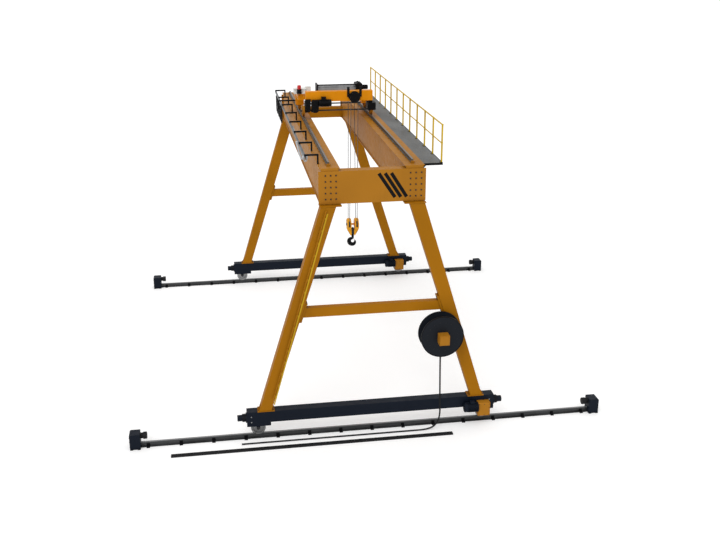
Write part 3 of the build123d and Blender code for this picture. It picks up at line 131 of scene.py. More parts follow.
# Places taken from the solid model
SPAN = 13.5
GAUGE = 1.215
GIRDER_WEB = 0.250
GIRDER_FLANGE = 0.014
RAIL_GAUGE = 1.210
RAIL_END = 7.016
STOP_LENGTH = 0.314
STOP_BUFFER_Z = 0.375
CLIP_TOP = 0.0175
WHEEL_X = 3.502
WHEEL_Z = 0.3633
WHEEL_LUG = 0.097
FLANGE_X = 3.864
BUFFER_Z = 0.700
LEG_FOOT_Z = 0.957
LEG_HEAD_Z = 7.235
LEG_FOOT_X = 3.090
LEG_HEAD_X = 1.060
TIE_PLATE = 0.070
TIE_ROWS = (3.79, 3.86, 4.23, 4.30)
TRAVEL_MOTOR_X = 3.290
TRAVEL_MOTOR_Y = -0.310
TRAVEL_MOTOR_Z = 0.636
TRAVEL_BOX_X = 3.480
TRAVEL_BOX_Y = -0.390
RAILING_X = 2.038
RAILING_TOP = 9.387
RAILING_MID = 8.853
POST_ROW = (0.25, 12.45, 12)
REEL_X = 2.010
REEL_Z = 3.230
REEL_FRONT = -0.625
REEL_BACK = -0.205
REEL_WOUND = 0.432
REEL_WOUND_FRONT = -0.585
REEL_WOUND_BACK = -0.250
REEL_PLATE_Y = -0.174
TROLLEY_MOTOR = (-0.690, 7.166, 8.905)
HOIST_MOTOR_Z = 9.27
GEARBOX_CAP_Z = 9.17
COVER_FACE = 7.200
CARRIAGE_FACE = 7.300
EQUALISER_FACE = 7.284
SHEAVE_FACE = 7.184
AXLE_Z = 8.5903
DRIVE_AXLE_Y = 7.515
IDLE_AXLE_Y = 8.930
HUB_X = 1.251
SHAFT_X = 1.299
DRUM_Y = 8.2
DRUM_Z = 9.19
DRUM_ROPE_LEFT = -0.585
DRUM_ROPE_RIGHT = 0.706
DRUM_FOOT_Z = 9.030
HOOK_X = 0.550
HOOK_Y = 7.600
SHEAVE_OFFSET = 0.140
SHEAVE_Z = 4.300
SHEAVE_SEAT = 0.1879
CROSSHEAD_Z = 4.03
NUT_Z = 4.130
LATCH_X = 0.580
LATCH_Z = 3.765
EQUALISER_X = 0.588
EQUALISER_Y = 7.242
EQUALISER_Z = 9.077
EQUALISER_SEAT = 0.1245
DRUM_FALL_X = 0.585
DRUM_FALL_OFFSET = 0.110
DRUM_RADIUS = 0.1623
ROPE_RADIUS = 0.012
ROPE_STEP = 0.028
TRACK_X = -1.840
BAND_LOW_X = -1.926
BAND_HIGH_X = -1.880
BAND_TOP = 8.500
BAND_SAG = [(0.6, 0.0), (0.9, 0.110), (1.3, 0.140), (1.7, 0.110), (2.2, 0.045), (2.6, 0.0)]
LOOP_FIRST = 9.350
LOOP_LAST = 12.050
LOOP_TOP = 8.420
LOOP_DROP = 0.610
LOOP_COUNT = 8
LOOP_CABLES = 3
CABINET_FRONT = 8.0
CABINET_ROOF = 9.275
BEACON = (-1.300, 7.915)
BEACON_RADIUS = 0.0815

# Bars painted on the front end beam: their middles at the top and at the bottom
STRIPES = [(0.178, 0.648), (0.357, 0.817), (0.536, 0.985)]
STRIPE_WIDTH = 0.100
STRIPE_TOP = 8.112
STRIPE_BOTTOM = 7.402

# Supply cable: its route, as in the solid model
CABLE_DIAMETER = 0.050
CABLE_STEPS = 24
CABLE_ROUTE = [
    (2.2373, -0.415, 2.8355),
    (2.137, -0.415, 2.7777),
    (2.064, -0.415, 2.700),
    (2.020, -0.415, 2.600),
    (2.010, -0.414, 2.450),
    (2.046, -0.412, 0.900),
    (2.062, -0.411, 0.560),
    (2.010, -0.408, 0.290),
    (1.860, -0.402, 0.095),
    (1.600, -0.396, 0.028),
    (1.250, -0.392, 0.025),
    (-4.030, -0.390, 0.025),
]

FRAMES = (0.0, SPAN)
SIDES = (-1, 1)
CORNERS = [(y0, side) for y0 in FRAMES for side in SIDES]


def size_of(node):
    """Lowest and highest corner of a node at rest."""
    low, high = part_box(node)
    return Vector(low), Vector(high)


girder_low, girder_high = size_of("right_girder")
deck_low, deck_high = size_of("walkway_deck")


def new_mesh(name, bm, smooth=False):
    mesh = bpy.data.meshes.new(name)
    bmesh.ops.recalc_face_normals(bm, faces=bm.faces)
    bm.to_mesh(mesh)
    bm.free()
    for polygon in mesh.polygons:
        polygon.use_smooth = smooth
    return mesh


def piece(name, bm, material, body, smooth=False):
    """Makes an object of a bmesh, gives it a finish and lets it ride on a body."""
    obj = bpy.data.objects.new(name, new_mesh(name, bm, smooth))
    bpy.context.scene.collection.objects.link(obj)
    obj.data.materials.append(material)
    if body:
        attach(obj, body)
    if smooth:
        edges = obj.modifiers.new("edges", "EDGE_SPLIT")
        edges.split_angle = math.radians(EDGE_ANGLE)
    return obj


def steps(first, last, count):
    return [first + (last - first) * i / (count - 1) for i in range(count)]


def pair(middle, half):
    return (middle - half, middle + half)


def within(low, high, inset):
    return (low + inset, high - inset)


def turns(count, shift=0.0):
    """Angles all round, in even steps."""
    return [2 * math.pi * (i + shift) / count for i in range(count)]


def round_point(centre, level, radius, angle):
    """Point of an upright circle, at an angle from a level direction."""
    return Vector(centre) + (level * math.cos(angle) + Z * math.sin(angle)) * radius


def frame_along(axis):
    """Rotation that takes +Z to an axis."""
    return Vector(axis).to_track_quat("Z", "Y").to_matrix().to_4x4()


def add_box(bm, low, high, bevel=0.0, segments=2):
    """A box between two corners, with rounded edges."""
    verts = bmesh.ops.create_cube(bm, size=1.0)["verts"]
    for v in verts:
        v.co = Vector([(a + b) / 2 + c * (b - a) for a, b, c in zip(low, high, v.co)])
    if bevel:
        edges = list({e for v in verts for e in v.link_edges})
        bmesh.ops.bevel(bm, geom=edges, offset=bevel, segments=segments, profile=0.5, affect="EDGES")


def add_plate(bm, middle, half, heights, bevel=0.0):
    """A box about a point seen from above, between two heights."""
    (x, y), (dx, dy), (z0, z1) = middle, half, heights
    add_box(bm, (x - dx, y - dy, z0), (x + dx, y + dy, z1), bevel)


def skin(bm, rings, loop=False):
    """Faces between rings of corners; a loop closes on itself, other ends are capped."""
    following = rings[1:] + rings[:1] if loop else rings[1:]
    for one, two in zip(rings, following):
        for i in range(len(one)):
            j = (i + 1) % len(one)
            bm.faces.new((one[i], two[i], two[j], one[j]))
    if not loop:
        bm.faces.new(rings[0])
        bm.faces.new(rings[-1])


def add_turned(bm, centre, axis, profile, sides=32, loop=False):
    """Turns a profile of (radius, distance along the axis) points about an axis."""
    turn = frame_along(axis)
    rings = []
    for radius, along in profile:
        spots = [Vector((radius * math.cos(a), radius * math.sin(a), along)) for a in turns(sides)]
        rings.append([bm.verts.new(Vector(centre) + turn @ spot) for spot in spots])
    skin(bm, rings, loop)


def add_ring(bm, centre, axis, profile, sides):
    """Turns a closed profile about an axis."""
    add_turned(bm, centre, axis, profile, sides, loop=True)


def add_rod(bm, start, end, radius, sides):
    start, end = Vector(start), Vector(end)
    add_turned(bm, start, end - start, [(radius, 0), (radius, (end - start).length)], sides)


def add_bolt(bm, centre, axis, size, washer=True):
    """Hexagon bolt head on its washer; centre lies on the face, axis points out of it."""
    base = 0.0
    if washer:
        add_turned(bm, centre, axis, [(size, 0), (size, size * 0.16), (size * 0.94, size * 0.2)], 16)
        base = size * 0.2
    head = [(size * 0.86, base), (size * 0.86, base + size * 0.5), (size * 0.74, base + size * 0.6)]
    add_turned(bm, centre, axis, head, 6)


def add_tube(bm, points, radius, sides, twist=0.0, waist=1.0):
    """A tube that follows points, its rings turned as little as possible.

    A laid rope has a twist, in turns per metre, and a waist, the share of the radius between strands.
    """
    points = [Vector(p) for p in points]
    rings, side, run = [], None, 0.0
    for i, here in enumerate(points):
        before, after = points[max(i - 1, 0)], points[min(i + 1, len(points) - 1)]
        along = (after - before).normalized()
        if side is None:
            side = along.orthogonal().normalized()
        side = (side - along * side.dot(along)).normalized()
        other = along.cross(side)
        run += (here - before).length
        ring = []
        for k, angle in enumerate(turns(sides)):
            a = angle + run * twist * 2 * math.pi
            r = radius * (waist if k % 2 else 1.0)
            ring.append(bm.verts.new(here + (side * math.cos(a) + other * math.sin(a)) * r))
        rings.append(ring)
    skin(bm, rings)


def add_strip(bm, line, edges, layers):
    """A flat strip along a line across X, between two edges in X and two layers off the line."""
    rings = []
    for i, here in enumerate(line):
        along = (line[min(i + 1, len(line) - 1)] - line[max(i - 1, 0)]).normalized()
        off = X.cross(along)
        corners = [(edges[0], layers[0]), (edges[1], layers[0]), (edges[1], layers[1]), (edges[0], layers[1])]
        rings.append([bm.verts.new(here + X * x + off * layer) for x, layer in corners])
    skin(bm, rings)


def add_prism(bm, outline, start, end):
    """A flat outline of points, run from one place to another."""
    skin(bm, [[bm.verts.new(Vector(place) + Vector(p)) for p in outline] for place in (start, end)])


def coil(start, end, level, radius, rounds, parts):
    """Points of a coil about the line between two places."""
    count = rounds * parts
    middles = [Vector(start).lerp(Vector(end), i / count) for i in range(count + 1)]
    return [round_point(m, level, radius, 2 * math.pi * i / parts) for i, m in enumerate(middles)]


# Materials

def add_node(tree, kind, **values):
    """A node with its settings; a socket is given by its name, with _ for a space."""
    node = tree.nodes.new(kind)
    for key, value in values.items():
        socket = key.replace("_", " ")
        if socket in node.inputs:
            node.inputs[socket].default_value = value
        else:
            setattr(node, key, value)
    return node


def through(tree, kind, source, entry, result, **values):
    """Passes a value through a new node, into one socket and out of another."""
    node = add_node(tree, kind, **values)
    tree.links.new(source, node.inputs[entry])
    return node.outputs[result]


def worked(tree, kind, operation, value, second, result="Value"):
    """Result of an operation on a value and a second, fixed one."""
    node = add_node(tree, kind, operation=operation)
    tree.links.new(value, node.inputs[0])
    node.inputs[1].default_value = second
    return node.outputs[result]


def times(tree, value, factor):
    return worked(tree, "ShaderNodeMath", "MULTIPLY", value, factor)


def place_of(tree):
    return add_node(tree, "ShaderNodeTexCoord").outputs["Object"]


def part_along(tree, axis):
    """How far a point lies along an axis."""
    return through(tree, "ShaderNodeSeparateXYZ", place_of(tree), "Vector", axis)


def off_line(tree, y, z):
    """How far a point lies from a line along X."""
    flat = worked(tree, "ShaderNodeVectorMath", "MULTIPLY", place_of(tree), (0, 1, 1), "Vector")
    return worked(tree, "ShaderNodeVectorMath", "DISTANCE", flat, (0, y, z))


def share_between(tree, value, start, end):
    return through(tree, "ShaderNodeMapRange", value, "Value", "Result", From_Min=start, From_Max=end)


def noise(tree, scale, detail=4.0, stretch=None):
    """Noise in the object's own coordinates, stretched along an axis if asked."""
    place = place_of(tree)
    if stretch:
        place = through(tree, "ShaderNodeMapping", place, "Vector", "Vector", Scale=stretch)
    return through(tree, "ShaderNodeTexNoise", place, "Vector", "Fac", Scale=scale, Detail=detail)


def ramp(tree, value, low, high, first=0.0, second=1.0):
    """Colours between two positions of a value; a number stands for a grey."""
    node = add_node(tree, "ShaderNodeValToRGB")
    for element, position, colour in zip(node.color_ramp.elements, (low, high), (first, second)):
        element.position = position
        element.color = (*colour, 1) if isinstance(colour, tuple) else (colour, colour, colour, 1)
    tree.links.new(value, node.inputs["Fac"])
    return node.outputs["Color"]


def mix(tree, factor, one, two):
    """Mixes two colours, each a socket or a plain colour."""
    node = add_node(tree, "ShaderNodeMix", data_type="RGBA")
    tree.links.new(factor, node.inputs[0])
    for socket, value in ((node.inputs[6], one), (node.inputs[7], two)):
        if isinstance(value, tuple):
            socket.default_value = (*value, 1)
        else:
            tree.links.new(value, socket)
    return node.outputs[2]


def darker(colour, share):
    return tuple(c * share for c in colour)


def cloudy_mix(tree, cloudy, colour, low, high):
    """A colour that changes between two shares of itself."""
    return mix(tree, cloudy, darker(colour, low), darker(colour, high))


def bump(tree, height, strength, distance):
    return through(tree, "ShaderNodeBump", height, "Height", "Normal", Strength=strength, Distance=distance)


def start_material(name, metallic, roughness, coat=0.0, specular=0.22):
    material = bpy.data.materials.new(name)
    material.use_nodes = True
    sockets = material.node_tree.nodes["Principled BSDF"].inputs
    sockets["Metallic"].default_value = metallic
    sockets["Roughness"].default_value = roughness
    sockets["Specular IOR Level"].default_value = specular
    if coat:
        sockets["Coat Weight"].default_value = coat
        sockets["Coat Roughness"].default_value = 0.25
    return material, material.node_tree


def surface(tree, **values):
    """Links values to the surface's sockets."""
    for name, value in values.items():
        tree.links.new(value, tree.nodes["Principled BSDF"].inputs[name.replace("_", " ")])


def paint(name, colour, roughness=0.42, corner_shade=0.55, specular=0.12):
    """Sprayed paint: cloudy tone, streaks, painted shade darkening the corners and a fine orange-peel
    surface.
    """
    material, tree = start_material(name, 0.0, roughness, specular=specular)
    cloudy = ramp(tree, noise(tree, 0.55, 6.0), 0.30, 0.72)
    tone = cloudy_mix(tree, cloudy, colour, 0.88, 1.07)
    streaks = ramp(tree, noise(tree, 3.0, 5.0, (1.0, 1.0, 0.12)), 0.56, 0.80)
    tone = mix(tree, times(tree, streaks, 0.22), tone, darker(colour, 0.62))
    # Painted shade: the colour darkens to 0.45 of itself where an occlusion test finds corners and recesses.
    corner = add_node(tree, "ShaderNodeAmbientOcclusion", samples=4, Distance=0.12)
    shade = ramp(tree, corner.outputs["AO"], 0.25, 0.95, 1.0, 0.0)
    tone = mix(tree, times(tree, shade, corner_shade), tone, darker(colour, 0.45))
    gloss = ramp(tree, noise(tree, 7.0, 4.0), 0.3, 0.7, roughness - 0.06, roughness + 0.10)
    surface(tree, Base_Color=tone, Roughness=gloss, Normal=bump(tree, noise(tree, 140.0, 2.0), 0.12, 0.0006))
    return material


def metal(name, colour, roughness, grain=(1.0, 1.0, 1.0), metallic=1.0):
    """Bare or zinc-coated steel with a drawn grain and darker patches."""
    material, tree = start_material(name, metallic, roughness)
    cloudy = ramp(tree, noise(tree, 4.0, 6.0), 0.32, 0.70)
    lines = noise(tree, 60.0, 3.0, grain)
    gloss = ramp(tree, lines, 0.3, 0.7, roughness - 0.08, roughness + 0.12)
    surface(tree, Base_Color=cloudy_mix(tree, cloudy, colour, 0.75, 1.08), Roughness=gloss,
            Normal=bump(tree, lines, 0.15, 0.0004))
    return material


def rail_metal(name, top, body, head_polish_and_highlight):
    """Rolled rail: dark mill scale, with a lighter running face near its top, partly polish from the wheels
    and partly a painted highlight where light falls on the head.
    """
    material, tree = start_material(name, 0.75, 0.42)
    # Painted highlight, with some real polish: the top few millimetres of the head take the lighter colour.
    above = share_between(tree, part_along(tree, "Z"), top - 0.006, top - 0.0005)
    cloudy = ramp(tree, noise(tree, 6.0, 6.0, (0.25, 0.25, 1.0)), 0.30, 0.72)
    scale = cloudy_mix(tree, cloudy, body, 0.72, 1.15)
    head_tone = cloudy_mix(tree, cloudy, head_polish_and_highlight, 0.8, 1.0)
    lines = noise(tree, 45.0, 3.0, (0.05, 0.05, 1.0))
    gloss = ramp(tree, cloudy, 0.2, 0.8, 0.34, 0.5)
    surface(tree, Base_Color=mix(tree, above, scale, head_tone), Roughness=gloss,
            Normal=bump(tree, lines, 0.2, 0.0008))
    return material


def soft_matte(name, colour, roughness=0.6):
    """Rubber or cable sheath with a fine mottle."""
    material, tree = start_material(name, 0.0, roughness)
    cloudy = ramp(tree, noise(tree, 12.0, 5.0), 0.3, 0.7)
    surface(tree, Base_Color=cloudy_mix(tree, cloudy, colour, 0.8, 1.5),
            Normal=bump(tree, noise(tree, 220.0, 2.0), 0.25, 0.0005))
    return material


def deck_paint():
    """Grey deck plate with a raised tread pattern and scuffed paths."""
    material, tree = start_material("deck_plate", 0.0, 0.5)
    cloudy = ramp(tree, noise(tree, 1.2, 6.0, (1.6, 0.6, 1.0)), 0.28, 0.74)
    both = add_node(tree, "ShaderNodeMath", operation="MAXIMUM")
    for socket, angle in zip(both.inputs, (45.0, -45.0)):
        place = through(tree, "ShaderNodeMapping", place_of(tree), "Vector", "Vector",
                        Rotation=(0, 0, math.radians(angle)))
        wave = through(tree, "ShaderNodeTexWave", place, "Vector", "Fac", Scale=9.0, Distortion=0.0)
        tree.links.new(ramp(tree, wave, 0.72, 0.95), socket)
    surface(tree, Base_Color=cloudy_mix(tree, cloudy, DECK, 0.78, 1.25),
            Normal=bump(tree, both.outputs[0], 0.35, 0.002))
    return material


def lens_red():
    material, tree = start_material("beacon_lens", 0.0, 0.18, 0.6)
    cloudy = ramp(tree, noise(tree, 30.0, 3.0), 0.3, 0.7)
    surface(tree, Base_Color=cloudy_mix(tree, cloudy, LAMP, 0.85, 1.0))
    return material


def second_colour(material, colour, value, limits):
    """Changes a material to a second colour between two limits of a value."""
    tree = material.node_tree
    before = tree.nodes["Principled BSDF"].inputs["Base Color"].links[0].from_socket
    surface(tree, Base_Color=mix(tree, share_between(tree, value, *limits), before, colour))
    return material


def axle_paint(name):
    """Bare shaft with wheel faces in the colour of the trolley."""
    material = paint(name + "_paint", SHAFT, 0.44, 0.3)
    centre = sum(size_of(name), Vector()) / 2
    return second_colour(material, OCHRE, off_line(material.node_tree, centre.y, centre.z), AXLE_CORE)


ochre_paint = paint("ochre_paint", OCHRE, 0.44)
shaded_ochre_paint = paint("shaded_ochre_paint", SHADED_OCHRE, 0.46, specular=0.08)
orange_paint = paint("orange_paint", ORANGE, 0.38)
hook_paint = paint("hook_paint", HOOK_ORANGE, 0.38, 0.35)
reel_paint = paint("reel_paint", REEL, 0.42, 0.3)
yellow_paint = paint("yellow_paint", YELLOW)
navy_paint = paint("navy_paint", NAVY, 0.45)
black_paint = paint("black_paint", BLACK)
white_paint = paint("cabinet_paint", CABINET, 0.40)
ground_rail_steel = rail_metal("ground_rail_steel", size_of("front_rail")[1].z, RAIL, RAIL_HEAD_POLISH_AND_HIGHLIGHT)
top_rail_steel = rail_metal("trolley_rail_steel", size_of("trolley_rails")[1].z, TOP_RAIL, TOP_RAIL_HEAD_POLISH_AND_HIGHLIGHT)
turned_steel = metal("turned_steel", STEEL, 0.34)
zinc = metal("zinc_plated", ZINC, 0.36)
track_steel = metal("track_steel", TRACK, 0.42, DRAWN)
# Painted highlight: the festoon track's side towards +X turns light grey, standing for a reflection along it.
second_colour(track_steel, TRACK_SIDE_HIGHLIGHT, part_along(track_steel.node_tree, "X"), TRACK_HIGHLIGHT_SPAN)
band_steel = metal("band_steel", OUTER_BAND, 0.40, DRAWN, metallic=0.1)
dark_steel = metal("blackened_steel", DARK_STEEL, 0.45, metallic=0.6)
rope_steel = metal("rope_steel", ROPE, 0.42, metallic=0.5)
drum_rope_steel = metal("drum_rope_steel", DRUM_ROPE, 0.40, metallic=0.4)
rubber = soft_matte("black_rubber", RUBBER)
cable_sheath = soft_matte("cable_sheath", CABLE, 0.5)
deck_plate = deck_paint()
ladder_paint = paint("ladder_paint", LADDER, 0.44)
# Painted shade: the ladder's rear stringer takes the darker ochre, as if it lay in shade.
second_colour(ladder_paint, SHADED_OCHRE, part_along(ladder_paint.node_tree, "Y"), LADDER_SHADE_SPAN)
red_lens = lens_red()

FINISHES = [
    (ground_rail_steel, "front_rail rear_rail"),
    (rubber, "stop_buffers cable_channel"),
    (navy_paint, "end_stops front_ground_beam rear_ground_beam beam_buffers travel_motors reel_bracket"),
    (turned_steel, "front_left_wheel front_right_wheel rear_left_wheel rear_right_wheel hoist_drum"),
    # The legs, ties and rear end beam take the darker copy of the ochre, which paints the shade they lie in.
    (shaded_ochre_paint, "front_right_leg front_left_leg rear_right_leg rear_left_leg tie_beams rear_end_beam"),
    (ochre_paint, "right_girder left_girder front_end_beam trolley_rail_stops"),
    (ochre_paint, "travel_gearboxes slip_ring_box"),
    (orange_paint, "right_carriage left_carriage trolley_cross_beams hoist_bearers"),
    (black_paint, "rail_clips festoon_brackets tow_arm trolley_reducer trolley_motor wheel_cover drum_frame"),
    (black_paint, "equaliser_bracket equaliser_sheave hoist_gearbox hoist_motor hook"),
    (top_rail_steel, "trolley_rails"),
    (deck_plate, "walkway_deck"),
    (yellow_paint, "walkway_railing"),
    (ladder_paint, "access_ladder"),
    (track_steel, "festoon_track"),
    (cable_sheath, "festoon_loops"),
    (reel_paint, "cable_reel"),
    (axle_paint("trolley_drive_axle"), "trolley_drive_axle"),
    (axle_paint("trolley_idle_axle"), "trolley_idle_axle"),
    (white_paint, "electric_cabinet"),
    (red_lens, "warning_beacon"),
    (rope_steel, "hoist_ropes"),
    (hook_paint, "hook_block"),
    (dark_steel, "hook_sheaves"),
]


def dress_nodes():
    for material, names in FINISHES:
        for name in names.split():
            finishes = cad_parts[name].data.materials
            finishes.clear()
            finishes.append(material)


# Camera, floor and light

def make_camera():
    yaw, pitch, roll = (math.radians(a) for a in (CAMERA_YAW, CAMERA_PITCH, CAMERA_ROLL))
    forward = Vector((math.sin(yaw) * math.cos(pitch), math.cos(yaw) * math.cos(pitch), -math.sin(pitch)))
    level = Vector((math.cos(yaw), -math.sin(yaw), 0))
    upright = level.cross(forward)
    right = level * math.cos(roll) + upright * math.sin(roll)
    up = upright * math.cos(roll) - level * math.sin(roll)
    camera = bpy.data.objects.new("camera", bpy.data.cameras.new("camera"))
    camera.data.lens = CAMERA_LENS
    camera.data.sensor_width = CAMERA_SENSOR
    camera.data.clip_end = CAMERA_REACH
    camera.data.dof.use_dof = False
    turn = Matrix((right, up, -forward)).transposed().to_4x4()
    camera.matrix_world = Matrix.Translation(CAMERA_PLACE) @ turn
    bpy.context.scene.collection.objects.link(camera)
    bpy.context.scene.camera = camera


def make_floor():
    bm = bmesh.new()
    half = FLOOR_SIZE / 2
    corners = [(-half, -half), (half, -half), (half, half), (-half, half)]
    bm.faces.new([bm.verts.new((x, y, cad_box[0][2] - 0.001)) for x, y in corners])
    floor = bpy.data.objects.new("floor", new_mesh("floor", bm))
    bpy.context.scene.collection.objects.link(floor)
    material, tree = start_material("floor", 0.0, 0.9, specular=0.0)
    pale = ramp(tree, noise(tree, 0.2, 3.0), 0.2, 0.8, darker(FLOOR_COLOUR, 0.99), FLOOR_COLOUR)
    seen = add_node(tree, "ShaderNodeLightPath").outputs["Is Camera Ray"]
    surface(tree, Base_Color=pale, Emission_Strength=times(tree, seen, FLOOR_GLOW))
    tree.nodes["Principled BSDF"].inputs["Emission Color"].default_value = (1, 1, 1, 1)
    floor.data.materials.append(material)


def make_light():
    world = bpy.data.worlds.new("studio")
    world.use_nodes = True
    tree = world.node_tree
    background = tree.nodes["Background"]
    background.inputs["Color"].default_value = (1.0, 1.0, 1.0, 1)
    seen = add_node(tree, "ShaderNodeLightPath").outputs["Is Camera Ray"]
    level = through(tree, "ShaderNodeMapRange", seen, "Value", "Result", To_Min=WORLD_LEVEL, To_Max=1.0)
    tree.links.new(level, background.inputs["Strength"])
    bpy.context.scene.world = world
    sun = bpy.data.objects.new("sun", bpy.data.lights.new("sun", "SUN"))
    sun.data.energy = SUN_LEVEL
    sun.data.angle = math.radians(SUN_ANGLE)
    sun.rotation_euler = [math.radians(a) for a in SUN_TILT]
    bpy.context.scene.collection.objects.link(sun)


# Supply cable

def cable_line():
    """Points along a smooth NURBS line through the cable's route."""
    curve = bpy.data.curves.new("cable_line", "CURVE")
    curve.dimensions = "3D"
    spline = curve.splines.new("NURBS")
    spline.points.add(len(CABLE_ROUTE) - 1)
    for point, place in zip(spline.points, CABLE_ROUTE):
        point.co = (*place, 1)
    spline.order_u = 3
    spline.use_endpoint_u = True
    spline.resolution_u = CABLE_STEPS
    line = bpy.data.objects.new("cable_line", curve)
    mesh = bpy.data.meshes.new_from_object(line)
    points = [v.co.copy() for v in mesh.vertices]
    bpy.data.objects.remove(line)
    bpy.data.meshes.remove(mesh)
    bpy.data.curves.remove(curve)
    return points


def make_supply_cable():
    points = cable_line()
    bm = bmesh.new()
    add_tube(bm, points, CABLE_DIAMETER / 2, 14)
    cable = piece("supply_cable_sheath", bm, cable_sheath, None, smooth=True)
    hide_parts("supply_cable")
    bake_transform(cable)


# Bolts, plates and fittings; the places of bolts are (point, axis) pairs

def rows(axis, *lines):
    """Bolt places on a grid of X, Y and Z values; a number stands for a line of one."""
    xs, ys, zs = (line if isinstance(line, (list, tuple)) else (line,) for line in lines)
    return [(Vector((x, y, z)), axis) for x in xs for y in ys for z in zs]


def circle(axis, centre, radius, count, shift=0.0):
    """Bolt places on a circle about an axis along X or Y."""
    level = Y if axis.x else X
    return [(round_point(centre, level, radius, a), axis) for a in turns(count, shift)]


def add_bolts(bm, places, size, washer=True):
    for point, axis in places:
        add_bolt(bm, point, axis, size, washer)


def bolt_field(name, body, places, size, material=dark_steel):
    bm = bmesh.new()
    add_bolts(bm, places, size)
    return piece(name, bm, material, body)


def make_frame_bolts():
    levels = steps(7.42, 8.10, 5)
    left, right, rear = steps(-1.34, -1.04, 3), steps(1.09, 1.41, 3), steps(1.04, 1.40, 3)
    places = rows(FRONT, left + right, size_of("front_end_beam")[0].y, levels)
    places += rows(BACK, rear + [-x for x in rear], size_of("rear_end_beam")[1].y, levels)
    bolt_field("end_beam_bolts", "gantry", places, 0.023)
    slope = (LEG_HEAD_X - LEG_FOOT_X) / (LEG_HEAD_Z - LEG_FOOT_Z)
    places = []
    for y0, side in CORNERS:
        places += rows(UP, side * 3.040, (y0 - 0.115, y0, y0 + 0.115), LEG_FOOT_Z)
        places += rows(UP, side * 3.482, pair(y0, 0.10), LEG_FOOT_Z)
        places += rows(DOWN, (side * 0.945, side * 1.015), (y0 - 0.115, y0, y0 + 0.115), LEG_HEAD_Z)
        inward = Vector((-side, 0, slope)).normalized()
        for z in TIE_ROWS:
            x = LEG_FOOT_X + slope * (z - LEG_FOOT_Z) - TIE_PLATE
            places += rows(inward, side * x, (y0 - 0.085, y0, y0 + 0.085), z)
    bolt_field("leg_bolts", "gantry", places, 0.017)
    places = rows(FRONT, pair(0, 3.70), size_of("front_ground_beam")[0].y, (0.60, 0.78))
    places += rows(BACK, pair(0, 3.70), size_of("rear_ground_beam")[1].y, (0.60, 0.78))
    bolt_field("ground_beam_bolts", "gantry", places, 0.020, zinc)
    places = []
    for y0, side in CORNERS:
        places += circle(X * side, (side * FLANGE_X, y0, BUFFER_Z), 0.139, 8, 0.5)
    bolt_field("buffer_bolts", "gantry", places, 0.011)


def make_runway_bolts():
    low, high = size_of("rail_clips")
    places = []
    for y0 in FRAMES:
        places += rows(UP, steps(low.x + 0.05, high.x - 0.05, 15), pair(y0, 0.104), CLIP_TOP)
    bolt_field("clip_bolts", "runway", places, 0.016)
    bm = bmesh.new()
    end = size_of("end_stops")[1].x
    for y0, side in CORNERS:
        inner, outer = side * (end - STOP_LENGTH), side * end
        add_bolts(bm, rows(X * -side, inner, pair(y0, 0.12), (0.10, 0.40)), 0.014)
        add_bolts(bm, rows(X * side, outer, pair(y0, 0.13), (0.08, 0.24, 0.38)), 0.014)
        for point, axis in rows(UP, (inner + side * 0.05, outer - side * 0.05), pair(y0, 0.185), 0.018):
            add_plate(bm, point.xy, (0.045, 0.02), (0.0, 0.018), 0.003)
            add_bolt(bm, point, axis, 0.010)
    piece("stop_bolts", bm, dark_steel, "runway")


def add_rib(bm, centre, axis, along, inner, outer, foot):
    """A rounded rib about a buffer, some way along its axis."""
    crown = 0.004
    profile = [(inner, along - foot), (outer, along - crown), (outer, along + crown), (inner, along + foot)]
    add_ring(bm, centre, axis, profile, 28)


def make_buffer_rings():
    """Ribs of the rubber buffers."""
    stops, beams = bmesh.new(), bmesh.new()
    for y0, side in CORNERS:
        for along in (0.022, 0.046, 0.070):
            add_rib(stops, (side * RAIL_END, y0, STOP_BUFFER_Z), X * -side, along, 0.084, 0.092, 0.007)
        for along in (0.020, 0.045, 0.070, 0.095):
            add_rib(beams, (side * FLANGE_X, y0, BUFFER_Z), X * side, along, 0.119, 0.128, 0.008)
    piece("stop_buffer_ribs", stops, rubber, "runway", smooth=True)
    piece("beam_buffer_ribs", beams, rubber, "gantry", smooth=True)


def make_stripes():
    """Three black bars painted across the front end beam."""
    face = size_of("front_end_beam")[0].y
    bm = bmesh.new()
    for top, bottom in STRIPES:
        high, low = Vector((top, face, STRIPE_TOP)), Vector((bottom, face, STRIPE_BOTTOM))
        across = (high - low).cross(Y).normalized() * STRIPE_WIDTH / 2
        add_prism(bm, [high - across, high + across, low + across, low - across], (0, 0, 0), (0, -0.0012, 0))
    piece("end_beam_stripes", bm, black_paint, "gantry")


def make_weld_lines():
    """Butt welds across the girders' webs, and fillets along their flanges."""
    bm = bmesh.new()
    fillet = 0.009
    low, high = within(girder_low.z, girder_high.z, GIRDER_FLANGE)
    for side in SIDES:
        for out in SIDES:
            x = side * GAUGE + out * GIRDER_WEB
            for y in steps(1.6, 11.9, 7):
                add_plate(bm, (x, y), (0.0018, 0.006), (low, high))
            for z, rise in ((low, fillet), (high, -fillet)):
                outline = [(x, 0, z), (x + out * fillet, 0, z), (x, 0, z + rise)]
                add_prism(bm, outline, (0, girder_low.y, 0), (0, girder_high.y, 0))
    piece("girder_welds", bm, ochre_paint, "gantry")


def add_motor_fins(bm, centre, axis, inner, outer, start, length, count, gap=None):
    """Cooling fins along a motor's barrel, left out near the angle of a gap."""
    turn = frame_along(axis)
    centre = Vector(centre)
    along = turn @ Z
    for a in turns(count):
        if gap is not None and abs((a - gap + math.pi) % (2 * math.pi) - math.pi) < 0.30:
            continue
        radial = turn @ Vector((math.cos(a), math.sin(a), 0))
        tangent = turn @ Vector((-math.sin(a), math.cos(a), 0)) * 0.0028
        base, tip = radial * (inner - 0.004), radial * outer
        outline = [base - tangent * 1.5, tip - tangent, tip + tangent, base + tangent * 1.5]
        add_prism(bm, outline, centre + along * start, centre + along * (start + length))


